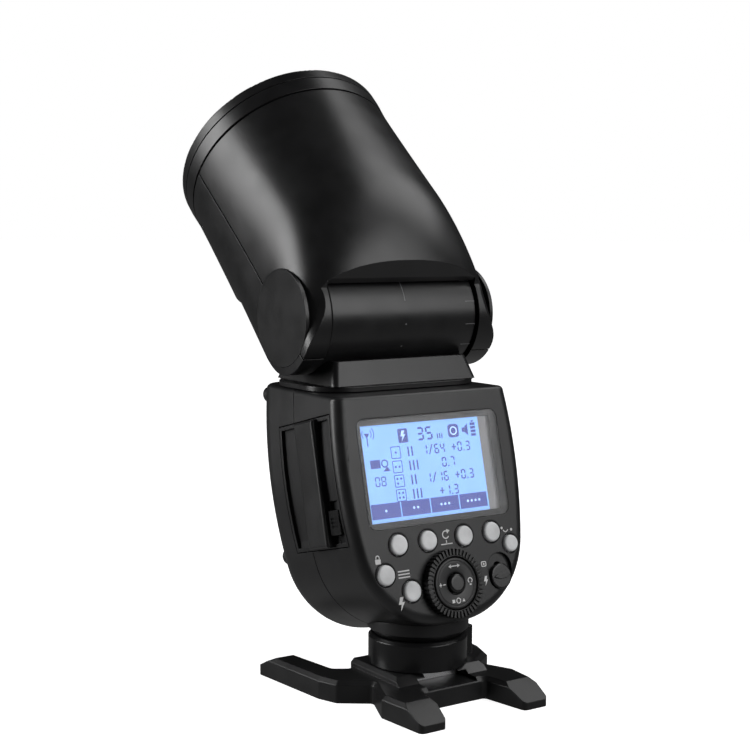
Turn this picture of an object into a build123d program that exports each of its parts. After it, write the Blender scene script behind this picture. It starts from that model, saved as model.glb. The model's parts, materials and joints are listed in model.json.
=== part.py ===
"""Round-head speedlight flash on its mini stand, as an assembly of separate pieces.

Row frame, millimetres: +Z up, +Y the way the flash fires, +X to the right of someone
reading the display. The origin is the mouth of the stand's tripod thread.
"""
from build123d import *
from math import cos, radians, sin, sqrt, tan
import os

os.makedirs("parts", exist_ok=True)

# Clearances
FIT = 0.05              # radial, between a shaft and the hole it turns or slides in
GAP = 0.3               # between pieces that move past each other
SEAT = 0.1              # between pieces set into each other and fixed

# Body
LEAN = 14.08            # the control panel leans back from upright, degrees
PANEL_Y = -8.64         # a point of the panel, at the middle of its width
PANEL_Z = 72.80
BODY_TOP = 96.0
BODY_BOTTOM = 24.6      # up the panel; the body runs square to the panel, so its belly drops forwards
BODY_HALF = 34.0        # half width at the bulge of the sides
BULGE_Z = 76.0          # height of the bulge
SIDE_R = 160.0
BELLY_R = 60.0
BELLY_CORNER_R = 28.0
OUTLINE_RISE = 20.0     # the outline runs this far past the top, which is cut level
BODY_DEPTH = 52.0       # along Y, panel to front
FRONT_FILLET = 9.0
PANEL_FILLET = 3.4
TOP_FILLET = 1.6
BODY_WALL = 2.0
SEAM_FROM_PANEL = 26.6  # along Y
SEAM_GROOVE = 0.35

# Display
WINDOW_W, WINDOW_H, WINDOW_R = 53.4, 33.8, 3.0
WINDOW_T = 1.0
MASK_T = 0.25
LIT_W, LIT_H, LIT_X = 49.2, 29.8, -0.5
LCD_W, LCD_H = 51.6, 31.6

# Keys, dial and switch on the panel: (x, up the panel) of each centre
KEY_R = 3.1
SOFTKEY_X = (-17.3, -6.3, 7.5, 18.3)
SOFTKEY_S = -22.0
SYNC_KEY = (25.2, -26.4)
SYNC_KEY_R = 2.65
MENU_KEY = (-23.3, -30.5)
TEST_KEY = (-14.6, -36.4)
KEY_PROUD = 0.9
KEY_TRAVEL = 0.6
KEY_FLANGE = 0.7        # flange beyond the key's side, behind the wall
KEY_FLANGE_T = 0.6
DIAL_AT = (0.0, -36.0)
DIAL_R = 10.65
DIAL_BORE_R = 8.25
DIAL_PROUD = 3.0
DIAL_SKIRT_R, DIAL_SKIRT_BORE_R = 7.0, 6.2
DIAL_SKIRT_OUT = -3.5
PAD_R = 7.9
PAD_OUT, PAD_T = 2.1, 1.0
SET_R = 2.9
SET_PROUD = 3.9
SWITCH_AT = (19.7, -34.6)
SWITCH_W, SWITCH_H = 9.3, 11.8
KNOB_R = 4.0
SWITCH_TRAVEL = SWITCH_H - 2 * KNOB_R - 0.7
SWITCH_SUNK = 1.2
BOARD_OUT = -6.0        # front of the control board, from the panel's face
BOARD_T = 1.6

# Battery, in the left side of the body: across the panel's depth and up the panel
PACK_DEEP, PACK_TALL = 31.0, 40.0
PACK_OUT, PACK_S = -19.7, -0.5
CASE_DEEP, CASE_TALL, CASE_OUT = 25.0, 38.0, -22.1
PACK_END_X = 7.0        # inner end of the pack
LID_T = 3.0
LID_SUNK = 1.1
RIB_W, RIB_OUT, RIB_PROUD = 11.5, -17.5, 1.2
CELL_WALL = 0.9
BAY_WALL = 1.2
LATCH_W, LATCH_H = 5.6, 7.6
LATCH_OUT, LATCH_S = -8.3, -12.9
LATCH_TRAVEL = 2.5

# Sockets in the right side, under a rubber flap
PORT_OUT, PORT_S = -12.7, 2.0
SOCKET_FLANGE = 1.0
PORT_W, PORT_H, PORT_T = 8.0, 24.0, 1.5
SYNC_SOCKET_S, SYNC_SOCKET_R = -5.5, 1.8
USB_S, USB_W, USB_H = 6.0, 3.2, 9.0

# Assist window in the front, screws, boards and capacitor
ASSIST_W, ASSIST_H, ASSIST_S, ASSIST_T = 26.0, 13.0, -14.0, 1.2
BOSS_R = 2.6
BOSS_AT = ((27.3, 40.0), (27.0, 91.8))      # x and height of the housing screws
BOSS_DEPTH = 7.0        # threaded depth behind the seam
BOSS_FLOOR = 1.8
SCREW_SHANK_R, SCREW_HEAD_R, SCREW_HEAD_T = 1.25, 2.2, 1.7
CAPACITOR_R, CAPACITOR_L = 9.5, 40.0
CAPACITOR_X, CAPACITOR_OUT = 19.5, -27.0
MAIN_BOARD_OUT = -38.0

# Swivel and tilt
PAN_Y = 24.2
HINGE_Z = 118.65
PLATE_W, PLATE_D, PLATE_R, PLATE_T = 62.0, 37.2, 12.0, 1.5
NECK_TOP = 105.6
NECK_HALF_W, NECK_HALF_W_TOP = 27.5, 25.5
NECK_HALF_D, NECK_HALF_D_TOP = 18.2, 15.0
HUB_R = 11.0
BARREL_R = 17.0
BARREL_HALF = 27.7
BARREL_WALL = 2.2
SHAFT_R = 5.0
SHAFT_BORE_R = 3.5
WASHER_T = 0.5
DETENTS = (0, 45, 60, 75, 90)   # head angles with a click, degrees above level
TILT = 41.5             # head angle at rest

# Head, in its own frame: X across, Y along the barrel of light, Z up from the hinge
HEAD_R_BACK, HEAD_R_FRONT = 34.8, 38.0
HEAD_L = 80.0
HEAD_WALL = 2.2
EAR_R = 18.0
EAR_HALF = 36.0
EAR_FILLET = 3.0
CHEEK_L = 44.0          # the ear's flat runs out into the round body here
CHEEK_END = 5.0
CAP_R = 15.35
CAP_T = 1.2
ARCH_R = 73.0           # arch of the top's rear edge
ARCH_TOP = 26.0
ARCH_Y = -2.0
SHOULDER_R = 41.5
SHOULDER_Y = 25.0
CUT_EDGE = (-3.5, 20.0)
POCKET_Y = 20.5         # front of the pocket that the barrel turns in
FLOOR_Z = -17.5
FLOOR_MID_Z = -16.2
STEP_Y = 31.5
STEP_RUN = 7.5
RING_W = 9.6
RING_GROOVE = 4.0       # from the front edge
RING_WALL = 2.8
LENS_T = 3.5
MAGNETS = 8
ZOOM_TRAVEL = 13.0
CARRIAGE_Y, CARRIAGE_T, CARRIAGE_R = 38.0, 3.5, 31.5
ROD_R = 1.5
ROD_X, ROD_Z = 27.0, 12.0
SCREW_R = 1.5
SCREW_Z = -27.5
REFLECTOR_R, REFLECTOR_L, REFLECTOR_WALL = 20.0, 16.0, 1.0

# Foot, lock and stand
SHOE_FOOT = 18.6        # standard accessory shoe foot, square
SHOE_FOOT_T = 2.0
SHOE_STEM = 12.3
SHOE_FLOOR = 6.0        # underside of the foot
COLLAR_R, COLLAR_R_TOP = 14.0, 16.2
RING_R = 15.8
RING_LOW, RING_HIGH = 9.8, 19.0
COLLAR_TAPER = 2.0
PIVOT_R = 10.6          # tube that the lock ring turns on
LOCK_PIN_R, LOCK_PIN_Y, LOCK_PIN_TRAVEL = 1.2, -6.3, 1.5
RAIL_IN, RAIL_OUT = 9.4, 17.0
LIP_IN = 6.4
LIP_LOW, LIP_HIGH = 8.1, 9.5
LEG_H = 7.0
THREAD_R = 2.6          # minor radius of the quarter-inch tripod thread
THREAD_L = 4.6
INSERT_R = 4.6

C, S = cos(radians(LEAN)), sin(radians(LEAN))
panel = Location(Plane(origin=(0, PANEL_Y, PANEL_Z), x_dir=(1, 0, 0), z_dir=(0, -C, S)))
hinge = Pos(0, PAN_Y, HINGE_Z)
head = hinge * Rot(TILT, 0, 0)
UP = (Align.CENTER, Align.CENTER, Align.MIN)
ALONG_Y = Rot(-90, 0, 0)        # turns a shape's Z to +Y
ALONG_X = Rot(0, 90, 0)         # turns a shape's Z to +X


def box(x0, x1, y0, y1, z0, z1):
    """Box between two corners."""
    return Pos((x0 + x1) / 2, (y0 + y1) / 2, (z0 + z1) / 2) * Box(x1 - x0, y1 - y0, z1 - z0)


def disc(radius, low, high, bore=0.0):
    """Cylinder or tube about Z between two heights."""
    shape = Pos(0, 0, low) * Cylinder(radius, high - low, align=UP)
    if bore:
        shape -= Pos(0, 0, low - 1) * Cylinder(bore, high - low + 2, align=UP)
    return shape


def cone(r_low, r_high, low, high):
    """Cone about Z between two heights."""
    return Pos(0, 0, low) * Cone(r_low, r_high, high - low, align=UP)


def plate(width, height, corner, low, high):
    """Plate with rounded corners between two heights."""
    return Pos(0, 0, low) * extrude(RectangleRounded(width, height, corner), high - low)


def at(place, shape, out=0.0):
    """Put a shape on the panel at (x, up the panel), moved out from it."""
    return panel * Pos(place[0], place[1], out) * shape


def both_sides(shape):
    """A shape and its mirror image across the middle plane."""
    return [shape, mirror(shape, Plane.YZ)]


def save(name, *shapes):
    """Write the pieces of one node."""
    solids = []
    for shape in shapes:
        solids += shape.solids() if hasattr(shape, "solids") else [s for part in shape for s in part.solids()]
    export_step(Compound(children=solids) if len(solids) > 1 else solids[0], f"parts/{name}.step")


# ---------------------------------------------------------------- body shells

def panel_y(z):
    """Y of the panel's face at a height."""
    return PANEL_Y + (z - PANEL_Z) * tan(radians(LEAN))


def body_outline(inset=0.0):
    """Front view of the body with its rounded belly, or the same drawn in by an inset."""
    side_r, belly_r, top = SIDE_R - inset, BELLY_R - inset, BODY_TOP + OUTLINE_RISE
    side_x, belly_z = BODY_HALF - SIDE_R, BODY_BOTTOM + BELLY_R
    apart = sqrt(side_x ** 2 + (belly_z - BULGE_Z) ** 2)
    along_x, along_z = -side_x / apart, (belly_z - BULGE_Z) / apart
    reach = (apart ** 2 + side_r ** 2 - belly_r ** 2) / (2 * apart)
    off = sqrt(side_r ** 2 - reach ** 2)
    corner = (side_x + reach * along_x + off * along_z, BULGE_Z + reach * along_z - off * along_x)
    upper = (side_x + sqrt(side_r ** 2 - (top - BULGE_Z) ** 2), top)
    flip = lambda point: (-point[0], point[1])
    right = ThreePointArc(upper, (side_x + side_r, BULGE_Z), corner)
    belly = ThreePointArc(corner, (0, belly_z - belly_r), flip(corner))
    left = ThreePointArc(flip(corner), (-side_x - side_r, BULGE_Z), flip(upper))
    face = make_face([right, belly, left, Line(flip(upper), upper)])
    return fillet(face.vertices().sort_by(Axis.Y)[:2], BELLY_CORNER_R - inset)


def leaning(along_y, ahead):
    """Everything ahead of, or behind, a plane parallel to the panel."""
    far = box(-60, 60, 0, 99, -99, 99) if ahead else box(-60, 60, -99, 0, -99, 99)
    return Pos(0, PANEL_Y + along_y, PANEL_Z) * Rot(-LEAN, 0, 0) * far


def body_bar(inset=0.0):
    """The body's outline run square to the panel, from the panel to the front, with its top uncut."""
    face = panel * Pos(0, -PANEL_Z, -inset) * body_outline(inset)
    return extrude(face, BODY_DEPTH * C - 2 * inset, dir=(0, C, -S))


def level_top(solid, inset=0.0):
    """Cuts the body's top level."""
    return solid & box(-60, 60, -99, 99, -99, BODY_TOP - inset)


def body_block(inset=0.0):
    """The body's outer form, or the hollow inside it for an inset."""
    return level_top(body_bar(inset), inset)


def body_form():
    """Rounded outer form of the body."""
    bar = body_bar()
    for facing, radius in ((-1, FRONT_FILLET), (1, PANEL_FILLET)):
        normal = Vector(0, -C, S) * facing
        face = bar.faces().filter_by(lambda f: f.normal_at().dot(normal) > 0.99)[0]
        bar = fillet([e for e in face.edges() if e.center().Z < BODY_TOP - 0.5], radius)
    bar = level_top(bar)
    return fillet(bar.faces().sort_by(Axis.Z)[-1].edges(), TOP_FILLET)


def in_panel(x0, x1, s0, s1, out0, out1):
    """Box set square to the panel: across, up it, and out from it."""
    return panel * box(x0, x1, s0, s1, out0, out1)


def pack_block(x0, x1, deep, tall, out, grow=0.0):
    """A block of the battery's section, grown all round."""
    return in_panel(x0, x1, PACK_S - tall / 2 - grow, PACK_S + tall / 2 + grow,
                    out - deep / 2 - grow, out + deep / 2 + grow)


def port_block(x0, x1, grow=0.0):
    """The region of the socket flap, grown all round."""
    return in_panel(x0, x1, PORT_S - PORT_H / 2 - grow, PORT_S + PORT_H / 2 + grow,
                    PORT_OUT - PORT_W / 2 - grow, PORT_OUT + PORT_W / 2 + grow)


def key_hole(radius):
    """Hole through the panel for a key, with a small sunk rim."""
    through = disc(radius + GAP, -BODY_WALL - 1, 1)
    return through + cone(radius + GAP, radius + GAP + 0.4, -0.4, 0.0)


KEYS = {f"softkey_{i + 1}": ((x, SOFTKEY_S), KEY_R) for i, x in enumerate(SOFTKEY_X)}
KEYS["sync_key"] = (SYNC_KEY, SYNC_KEY_R)
KEYS["menu_key"] = (MENU_KEY, KEY_R)
KEYS["test_key"] = (TEST_KEY, KEY_R)

form = body_form()
hollow = body_block(BODY_WALL)
front_face = panel * Pos(0, 0, -BODY_DEPTH * C)


def panel_cuts():
    """Everything cut through the panel for the display and the controls."""
    yield panel * plate(WINDOW_W + 2 * SEAT, WINDOW_H + 2 * SEAT, WINDOW_R, -WINDOW_T - MASK_T, 1)
    yield in_panel(LIT_X - LIT_W / 2 - 0.4, LIT_X + LIT_W / 2 + 0.4,
                   -LIT_H / 2 - 0.4, LIT_H / 2 + 0.4, -BODY_WALL - 1, 0)
    for place, radius in KEYS.values():
        yield at(place, key_hole(radius))
    yield at(DIAL_AT, disc(DIAL_SKIRT_R + GAP, -BODY_WALL - 4, 1))
    yield at(SWITCH_AT, plate(SWITCH_W, SWITCH_H, SWITCH_W / 2 - 0.01, -SWITCH_SUNK, 1))
    yield at(SWITCH_AT, plate(3.0, 3.0 + SWITCH_TRAVEL, 1.49, -BODY_WALL - 1, 1))


def boss_places():
    """Where the housing screws stand: x, height and the Y of the front face there."""
    for x, z in BOSS_AT:
        for side in (-1, 1):
            yield side * x, z, panel_y(z) + BODY_DEPTH


def body_shells():
    """Rear and front housing: one hollow form, parted by the seam."""
    shell = form - hollow
    for x, z, front_y in boss_places():
        start = Pos(x, front_y - BODY_DEPTH + SEAM_FROM_PANEL - BOSS_DEPTH, z) * ALONG_Y
        shell += start * disc(BOSS_R, -BOSS_FLOOR, BODY_DEPTH) & body_block(BODY_WALL / 2)
        shell -= start * disc(SCREW_SHANK_R + 0.05, 0, 99)
        shell -= Pos(x, front_y - 3.0, z) * ALONG_Y * disc(SCREW_HEAD_R + SEAT, 0, 9)
    shell -= pack_block(-60, -20, PACK_DEEP, PACK_TALL, PACK_OUT, GAP) - body_block(LID_T + GAP)
    shell -= pack_block(-60, 0, CASE_DEEP, CASE_TALL, CASE_OUT, GAP)
    shell -= port_block(20, 60, GAP)
    shell -= Pos(0, PAN_Y, 0) * disc(HUB_R + FIT, BODY_TOP - 6, BODY_TOP + 2)
    shell -= front_face * Pos(0, ASSIST_S, 0) * plate(ASSIST_W + 2 * SEAT, ASSIST_H + 2 * SEAT, 3, -2, ASSIST_T)
    shell -= front_face * Pos(0, ASSIST_S, 0) * plate(ASSIST_W - 3, ASSIST_H - 3, 2, 0, BODY_WALL + 1)
    shell += disc(RING_R + 2.0, 0, RING_HIGH + GAP + BODY_WALL) & form
    shell -= disc(RING_R + 2 * GAP, 0, RING_HIGH + GAP)
    shell -= disc(PIVOT_R + SEAT, 0, BODY_BOTTOM + 3.0)
    for cut in panel_cuts():
        shell -= cut
    seam = leaning(SEAM_FROM_PANEL - SEAM_GROOVE / 2, True) & leaning(SEAM_FROM_PANEL + SEAM_GROOVE / 2, False)
    shell -= seam - body_block(SEAM_GROOVE)
    return shell & leaning(SEAM_FROM_PANEL, False), shell & leaning(SEAM_FROM_PANEL, True)


def housing_screws():
    """Four screws, from the front housing into the rear one."""
    for x, z, front_y in boss_places():
        seam_y = front_y - BODY_DEPTH + SEAM_FROM_PANEL
        tip_y = seam_y - BOSS_DEPTH + 0.5
        start = Pos(x, tip_y, z) * ALONG_Y
        length = front_y - 3.0 - tip_y
        recess = Pos(0, 0, length + SCREW_HEAD_T) * (Box(2.6, 0.6, 1.2) + Box(0.6, 2.6, 1.2))
        yield start * (disc(SCREW_SHANK_R, 0, length) + disc(SCREW_HEAD_R, length, length + SCREW_HEAD_T) - recess)


rear_housing, front_housing = body_shells()
save("rear_housing", rear_housing)
save("front_housing", front_housing)
save("housing_screws", list(housing_screws()))
save("assist_window", front_face * Pos(0, ASSIST_S, 0) * plate(ASSIST_W, ASSIST_H, 3, 0.15, ASSIST_T))


# ---------------------------------------------------------------- display and controls

window = panel * plate(WINDOW_W, WINDOW_H, WINDOW_R, -WINDOW_T, -0.05)
mask = panel * plate(WINDOW_W, WINDOW_H, WINDOW_R, -WINDOW_T - MASK_T, -WINDOW_T)
mask -= in_panel(LIT_X - LIT_W / 2, LIT_X + LIT_W / 2, -LIT_H / 2, LIT_H / 2, -3, 1)
lcd = in_panel(-LCD_W / 2, LCD_W / 2, -LCD_H / 2, LCD_H / 2, BOARD_OUT, -BODY_WALL - 0.05)
save("lcd_window", window)
save("lcd_mask", mask)
save("lcd_module", lcd)

TACT_T = 0.7


def control_board():
    """Board behind the panel, with a tactile switch under each key."""
    board = body_block(BODY_WALL + 1.0) & in_panel(-40, 40, -60, 22, BOARD_OUT - BOARD_T, BOARD_OUT)
    for place, _ in list(KEYS.values()) + [(DIAL_AT, SET_R)]:
        board += at(place, Box(3.6, 3.6, TACT_T, align=UP), BOARD_OUT)
    return board


def key(radius):
    """Domed key with a flange behind the panel and a stem onto its switch."""
    cap = fillet(disc(radius, -BODY_WALL - GAP, KEY_PROUD).edges().sort_by(Axis.Z)[-1], 0.75)
    flange = disc(radius + KEY_FLANGE, -BODY_WALL - GAP - KEY_FLANGE_T, -BODY_WALL - GAP)
    return cap + flange + disc(1.6, BOARD_OUT + TACT_T + KEY_TRAVEL + SEAT, -BODY_WALL - GAP)


save("control_board", control_board())
for name, (place, radius) in KEYS.items():
    save(name, at(place, key(radius)))

core = disc(DIAL_SKIRT_BORE_R - GAP, BOARD_OUT, 0.9, 1.5 + GAP)
core -= disc(3.2, BOARD_OUT - 1, BOARD_OUT + TACT_T + 1.2)
save("dial_core", at(DIAL_AT, core))

wheel = disc(DIAL_R, GAP, DIAL_PROUD, DIAL_BORE_R) + disc(DIAL_R, GAP, 1.0, DIAL_SKIRT_BORE_R)
wheel += disc(DIAL_SKIRT_R, DIAL_SKIRT_OUT, 1.0, DIAL_SKIRT_BORE_R)
save("dial_wheel", at(DIAL_AT, wheel))

gimbal = disc(6.0, 1.3, 1.8, SET_R + 0.7)
pad = disc(PAD_R, PAD_OUT, PAD_OUT + PAD_T, SET_R + 0.35)
set_key = fillet(disc(SET_R, PAD_OUT - 0.1, SET_PROUD).edges().sort_by(Axis.Z)[-1], 0.8)
set_key += disc(1.5, BOARD_OUT + TACT_T + KEY_TRAVEL + SEAT, PAD_OUT - 0.1)
save("nav_gimbal", at(DIAL_AT, gimbal))
save("nav_pad", at(DIAL_AT, pad))
save("set_key", at(DIAL_AT, set_key))

knob_low = Pos(0, -SWITCH_TRAVEL / 2, 0)
knob = fillet(disc(KNOB_R, -SWITCH_SUNK + 0.1, 0.5).edges().sort_by(Axis.Z)[-1], 0.5)
knob += box(-1.0, 1.0, -0.6, 0.9, -BODY_WALL - 1.4, -SWITCH_SUNK + 0.5)
knob += box(-2.8, 1.0, -0.6, 3.4, -BODY_WALL - 1.4, -BODY_WALL - 0.5)
save("mode_switch", panel * Pos(*SWITCH_AT) * knob_low * knob)


# ---------------------------------------------------------------- battery, sockets, boards

def battery_case():
    """Battery pack: lid with its grip rib, and the hollow box that holds the cells."""
    lid = (form & pack_block(-60, -20, PACK_DEEP, PACK_TALL, PACK_OUT)) - body_block(LID_T)
    lid -= (pack_block(-60, -20, PACK_DEEP - 2.4, PACK_TALL - 2.4, PACK_OUT)
            - body_block(LID_SUNK))
    rib = in_panel(-BODY_HALF - RIB_PROUD, -BODY_HALF + LID_T - 0.5, PACK_S - PACK_TALL / 2 + 0.3,
                   PACK_S + PACK_TALL / 2 - 0.3, RIB_OUT - RIB_W / 2, RIB_OUT + RIB_W / 2)
    rib = fillet(rib.edges().group_by(Axis.X)[0], 0.9)
    case = pack_block(-BODY_HALF + LID_T - 0.6, PACK_END_X, CASE_DEEP, CASE_TALL, CASE_OUT)
    case -= pack_block(-BODY_HALF + LID_T + 2.0, PACK_END_X - CELL_WALL, CASE_DEEP - 2 * CELL_WALL,
                       CASE_TALL - 2 * CELL_WALL, CASE_OUT)
    pack = lid + rib + case
    return pack - in_panel(-60, -BODY_HALF + LID_T - 0.5, LATCH_S - LATCH_H / 2 - GAP,
                           LATCH_S + LATCH_H / 2 + LATCH_TRAVEL + GAP,
                           LATCH_OUT - LATCH_W / 2 - GAP, LATCH_OUT + LATCH_W / 2 + GAP)


def cells():
    """Two flat cells side by side in the pack."""
    room = CASE_DEEP - 2 * CELL_WALL - 3 * SEAT
    for side in (-1, 1):
        middle = CASE_OUT + side * (room / 4 + SEAT / 2)
        yield pack_block(-BODY_HALF + LID_T + 2.6, PACK_END_X - CELL_WALL - SEAT, room / 2,
                         CASE_TALL - 2 * CELL_WALL - 2 * SEAT, middle)


def latch():
    """Battery latch, with two grip lines."""
    slab = in_panel(-BODY_HALF + 0.3, -BODY_HALF + LID_T - 0.5 - SEAT, LATCH_S - LATCH_H / 2,
                    LATCH_S + LATCH_H / 2, LATCH_OUT - LATCH_W / 2, LATCH_OUT + LATCH_W / 2)
    for s in (-1.2, 0, 1.2):
        slab -= in_panel(-BODY_HALF, -BODY_HALF + 0.7, LATCH_S + s - 0.25, LATCH_S + s + 0.25,
                         LATCH_OUT - 1.8, LATCH_OUT + 1.8)
    return slab


def battery_bay():
    """Box that guides the pack, with three spring contacts on its end wall."""
    inner = pack_block(-60, PACK_END_X + GAP, CASE_DEEP, CASE_TALL, CASE_OUT, GAP)
    outer = pack_block(-60, PACK_END_X + GAP + BAY_WALL, CASE_DEEP, CASE_TALL, CASE_OUT, GAP + BAY_WALL)
    bay = (outer - inner) & body_block(LID_T + 2 * GAP)
    for s in (-6, 0, 6):
        bay += in_panel(PACK_END_X + GAP / 2, PACK_END_X + GAP + 0.2, PACK_S + s - 1, PACK_S + s + 1,
                        CASE_OUT - 3, CASE_OUT + 3)
    return bay


def sockets():
    """Block with the sync and the charging sockets, seated on the inside of the wall."""
    block = port_block(24, 60, SOCKET_FLANGE) & body_block(BODY_WALL + 0.03)
    block += port_block(24, 60, -0.2) & body_block(PORT_T + GAP)
    block -= panel * Pos(26, SYNC_SOCKET_S, PORT_OUT) * ALONG_X * disc(SYNC_SOCKET_R, 0, 20)
    return block - in_panel(26, 60, USB_S - USB_H / 2, USB_S + USB_H / 2,
                            PORT_OUT - USB_W / 2, PORT_OUT + USB_W / 2)


save("battery_case", battery_case())
save("battery_cells", list(cells()))
save("battery_latch", latch())
save("battery_bay", battery_bay())
save("port_sockets", sockets())
save("port_cover", (form & port_block(20, 60)) - body_block(PORT_T))

capacitor = panel * Pos(CAPACITOR_X, 0, CAPACITOR_OUT) * ALONG_Y * disc(CAPACITOR_R, -CAPACITOR_L / 2, CAPACITOR_L / 2)
save("main_capacitor", capacitor)
main_board = in_panel(-26, 26, -18, 18, MAIN_BOARD_OUT - BOARD_T, MAIN_BOARD_OUT)
main_board += in_panel(-18, -4, -8, 10, MAIN_BOARD_OUT - BOARD_T - 6, MAIN_BOARD_OUT - BOARD_T)
main_board += in_panel(12, 27, -6, 6, MAIN_BOARD_OUT, CAPACITOR_OUT - CAPACITOR_R - 0.05)
save("main_board", main_board)


# ---------------------------------------------------------------- swivel and hinge barrel

def swivel_base():
    """Turning plate and drafted neck in one moulding, with the hub below."""
    base = plate(PLATE_W, PLATE_D, PLATE_R, BODY_TOP + GAP, BODY_TOP + GAP + PLATE_T)
    groove_top = BODY_TOP + GAP + PLATE_T + 0.3
    base += plate(2 * NECK_HALF_W - 1, 2 * NECK_HALF_D - 1, 2, groove_top - 0.3, groove_top)
    low = Pos(0, 0, groove_top) * RectangleRounded(2 * NECK_HALF_W, 2 * NECK_HALF_D, 2)
    high = Pos(0, 0, NECK_TOP) * RectangleRounded(2 * NECK_HALF_W_TOP, 2 * NECK_HALF_D_TOP, 2)
    base += loft([low, high])
    base += disc(HUB_R, BODY_TOP - 2.3, BODY_TOP + GAP) + disc(HUB_R - 2, BODY_TOP - 6, BODY_TOP + GAP)
    base -= disc(6.0, BODY_TOP - 9, BODY_TOP + 20)
    base = Pos(0, PAN_Y, 0) * base - hinge * ALONG_X * disc(BARREL_R, -40, 40)
    return base - plunger_axis * disc(PLUNGER_R + FIT, -19.5, 0)


def hinge_barrel():
    """Closed drum across the neck; the tilt shaft turns in its end walls."""
    drum = disc(BARREL_R, -BARREL_HALF, BARREL_HALF)
    drum = fillet(drum.edges().filter_by(GeomType.CIRCLE), 0.6)
    drum -= disc(BARREL_R - BARREL_WALL, -BARREL_HALF + 2.5, BARREL_HALF - 2.5)
    drum -= disc(SHAFT_R + FIT, -40, 40)
    drum = hinge * ALONG_X * drum
    drum += plunger_axis * disc(3.0, -BARREL_R + BARREL_WALL / 2, -DETENT_R - 2.2)
    drum -= plunger_axis * disc(PLUNGER_R + FIT, -19.5, 0)
    return drum - hinge * disc(6.0, -20, -BARREL_R + BARREL_WALL + 1.5)


DETENT_X, DETENT_T, DETENT_R = 15.5, 3.0, 10.0
PLUNGER_R, PLUNGER_L = 1.5, 7.0
plunger_axis = hinge * Pos(DETENT_X, 0, 0)

detent = disc(DETENT_R, -DETENT_T / 2, DETENT_T / 2, SHAFT_R + 0.02)
for angle in DETENTS:
    detent -= Rot(0, 0, angle) * Pos(DETENT_R, 0, 0) * Cylinder(1.1, DETENT_T + 1)
# about +X, with its zero pointing down: the click for an angle comes down when the head is there
detent = plunger_axis * Rot(TILT, 0, 0) * ALONG_X * mirror(detent, Plane.XZ)

plunger = disc(PLUNGER_R, -DETENT_R - GAP - PLUNGER_L, -DETENT_R - GAP - 1.0)
plunger += cone(PLUNGER_R, 0.6, -DETENT_R - GAP - 1.0, -DETENT_R - GAP)

shaft = hinge * ALONG_X * disc(SHAFT_R, -EAR_HALF + CAP_T + 0.2, EAR_HALF - CAP_T - 0.2, SHAFT_BORE_R)
washer = hinge * ALONG_X * disc(9.0, BARREL_HALF, BARREL_HALF + WASHER_T, SHAFT_R + FIT)
retainer = Pos(0, PAN_Y, 0) * disc(HUB_R + 4, BODY_TOP - 4.8, BODY_TOP - BODY_WALL - GAP, HUB_R - 2 + 0.02)
save("swivel_base", swivel_base())
save("swivel_retainer", retainer)
save("hinge_barrel", hinge_barrel())
save("tilt_washers", both_sides(washer))
save("detent_plunger", plunger_axis * plunger)
save("tilt_detent_disc", detent)
save("hinge_shaft", shaft)


# ---------------------------------------------------------------- head

def head_r(y):
    """Radius of the head's round body at a distance ahead of the hinge."""
    return HEAD_R_BACK + (HEAD_R_FRONT - HEAD_R_BACK) * y / HEAD_L


def along(shape, x=0.0, z=0.0):
    """Lay a shape made about Z along the head's axis."""
    return Pos(x, 0, z) * ALONG_Y * shape


def prism(points, x0, x1):
    """Side-view polygon of (y, z) points, extruded between two x."""
    face = make_face(Polyline(*points, close=True))
    return extrude(Plane.YZ.offset(x0) * face, x1 - x0, dir=(1, 0, 0))


SHELL_END = HEAD_L - RING_W - 0.2
EAR_IN = BARREL_HALF + WASHER_T


def shoulder():
    """Round tool that lowers the head's top towards its rear edge."""
    axis_z = ARCH_TOP - ARCH_R
    back = SHOULDER_R - sqrt(SHOULDER_R ** 2 - (SHOULDER_Y - ARCH_Y) ** 2)
    top = ARCH_R + back
    y_back = ARCH_Y - 8
    drop = SHOULDER_R - sqrt(SHOULDER_R ** 2 - (SHOULDER_Y - y_back) ** 2)
    y_mid = (SHOULDER_Y + y_back) / 2
    drop_mid = SHOULDER_R - sqrt(SHOULDER_R ** 2 - (SHOULDER_Y - y_mid) ** 2)
    arc = ThreePointArc((top - drop, y_back), (top - drop_mid, y_mid), (top, SHOULDER_Y))
    rest = Polyline((top, SHOULDER_Y), (top + 14, HEAD_L), (0, HEAD_L), (0, y_back), (top - drop, y_back))
    return Pos(0, 0, axis_z) * revolve(Plane.XY * make_face([arc, rest]), Axis.Y, 360)


def cheek(side):
    """Ear round the hinge, with its flat running out into the round body."""
    outline = make_hull((Circle(EAR_R) + Pos(CHEEK_L, 0) * Circle(CHEEK_END)).edges())
    solid = extrude(Plane.YZ.offset(EAR_IN) * outline, EAR_HALF - EAR_IN, dir=(1, 0, 0))
    solid = fillet(solid.faces().sort_by(Axis.X)[-1].edges(), EAR_FILLET)
    return solid if side > 0 else mirror(solid, Plane.YZ)


def head_form():
    """Outer form of the head behind the front ring, in the head's frame."""
    round_body = along(cone(head_r(-EAR_R), head_r(SHELL_END), -EAR_R, SHELL_END))
    side_view = prism([(0, -EAR_R), (STEP_Y, FLOOR_Z), (STEP_Y + STEP_RUN, -38), (STEP_Y + STEP_RUN, -60),
                       (99, -60), (99, 60), (ARCH_Y, 60), (ARCH_Y, ARCH_TOP), CUT_EDGE, (CUT_EDGE[0], 0)], -60, 60)
    side_view += ALONG_X * disc(EAR_R, -60, 60)
    solid = round_body & shoulder() & side_view
    solid += cheek(-1)
    solid += cheek(1)
    mid = box(-EAR_IN, EAR_IN, -40, POCKET_Y, -60, 0) + box(-EAR_IN, EAR_IN, -40, CUT_EDGE[0], -60, 60)
    mid += box(-EAR_IN, EAR_IN, 0, STEP_Y, -60, FLOOR_MID_Z)
    mid += ALONG_X * disc(BARREL_R + 1.4, -EAR_IN, EAR_IN)
    return solid - mid


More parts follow.
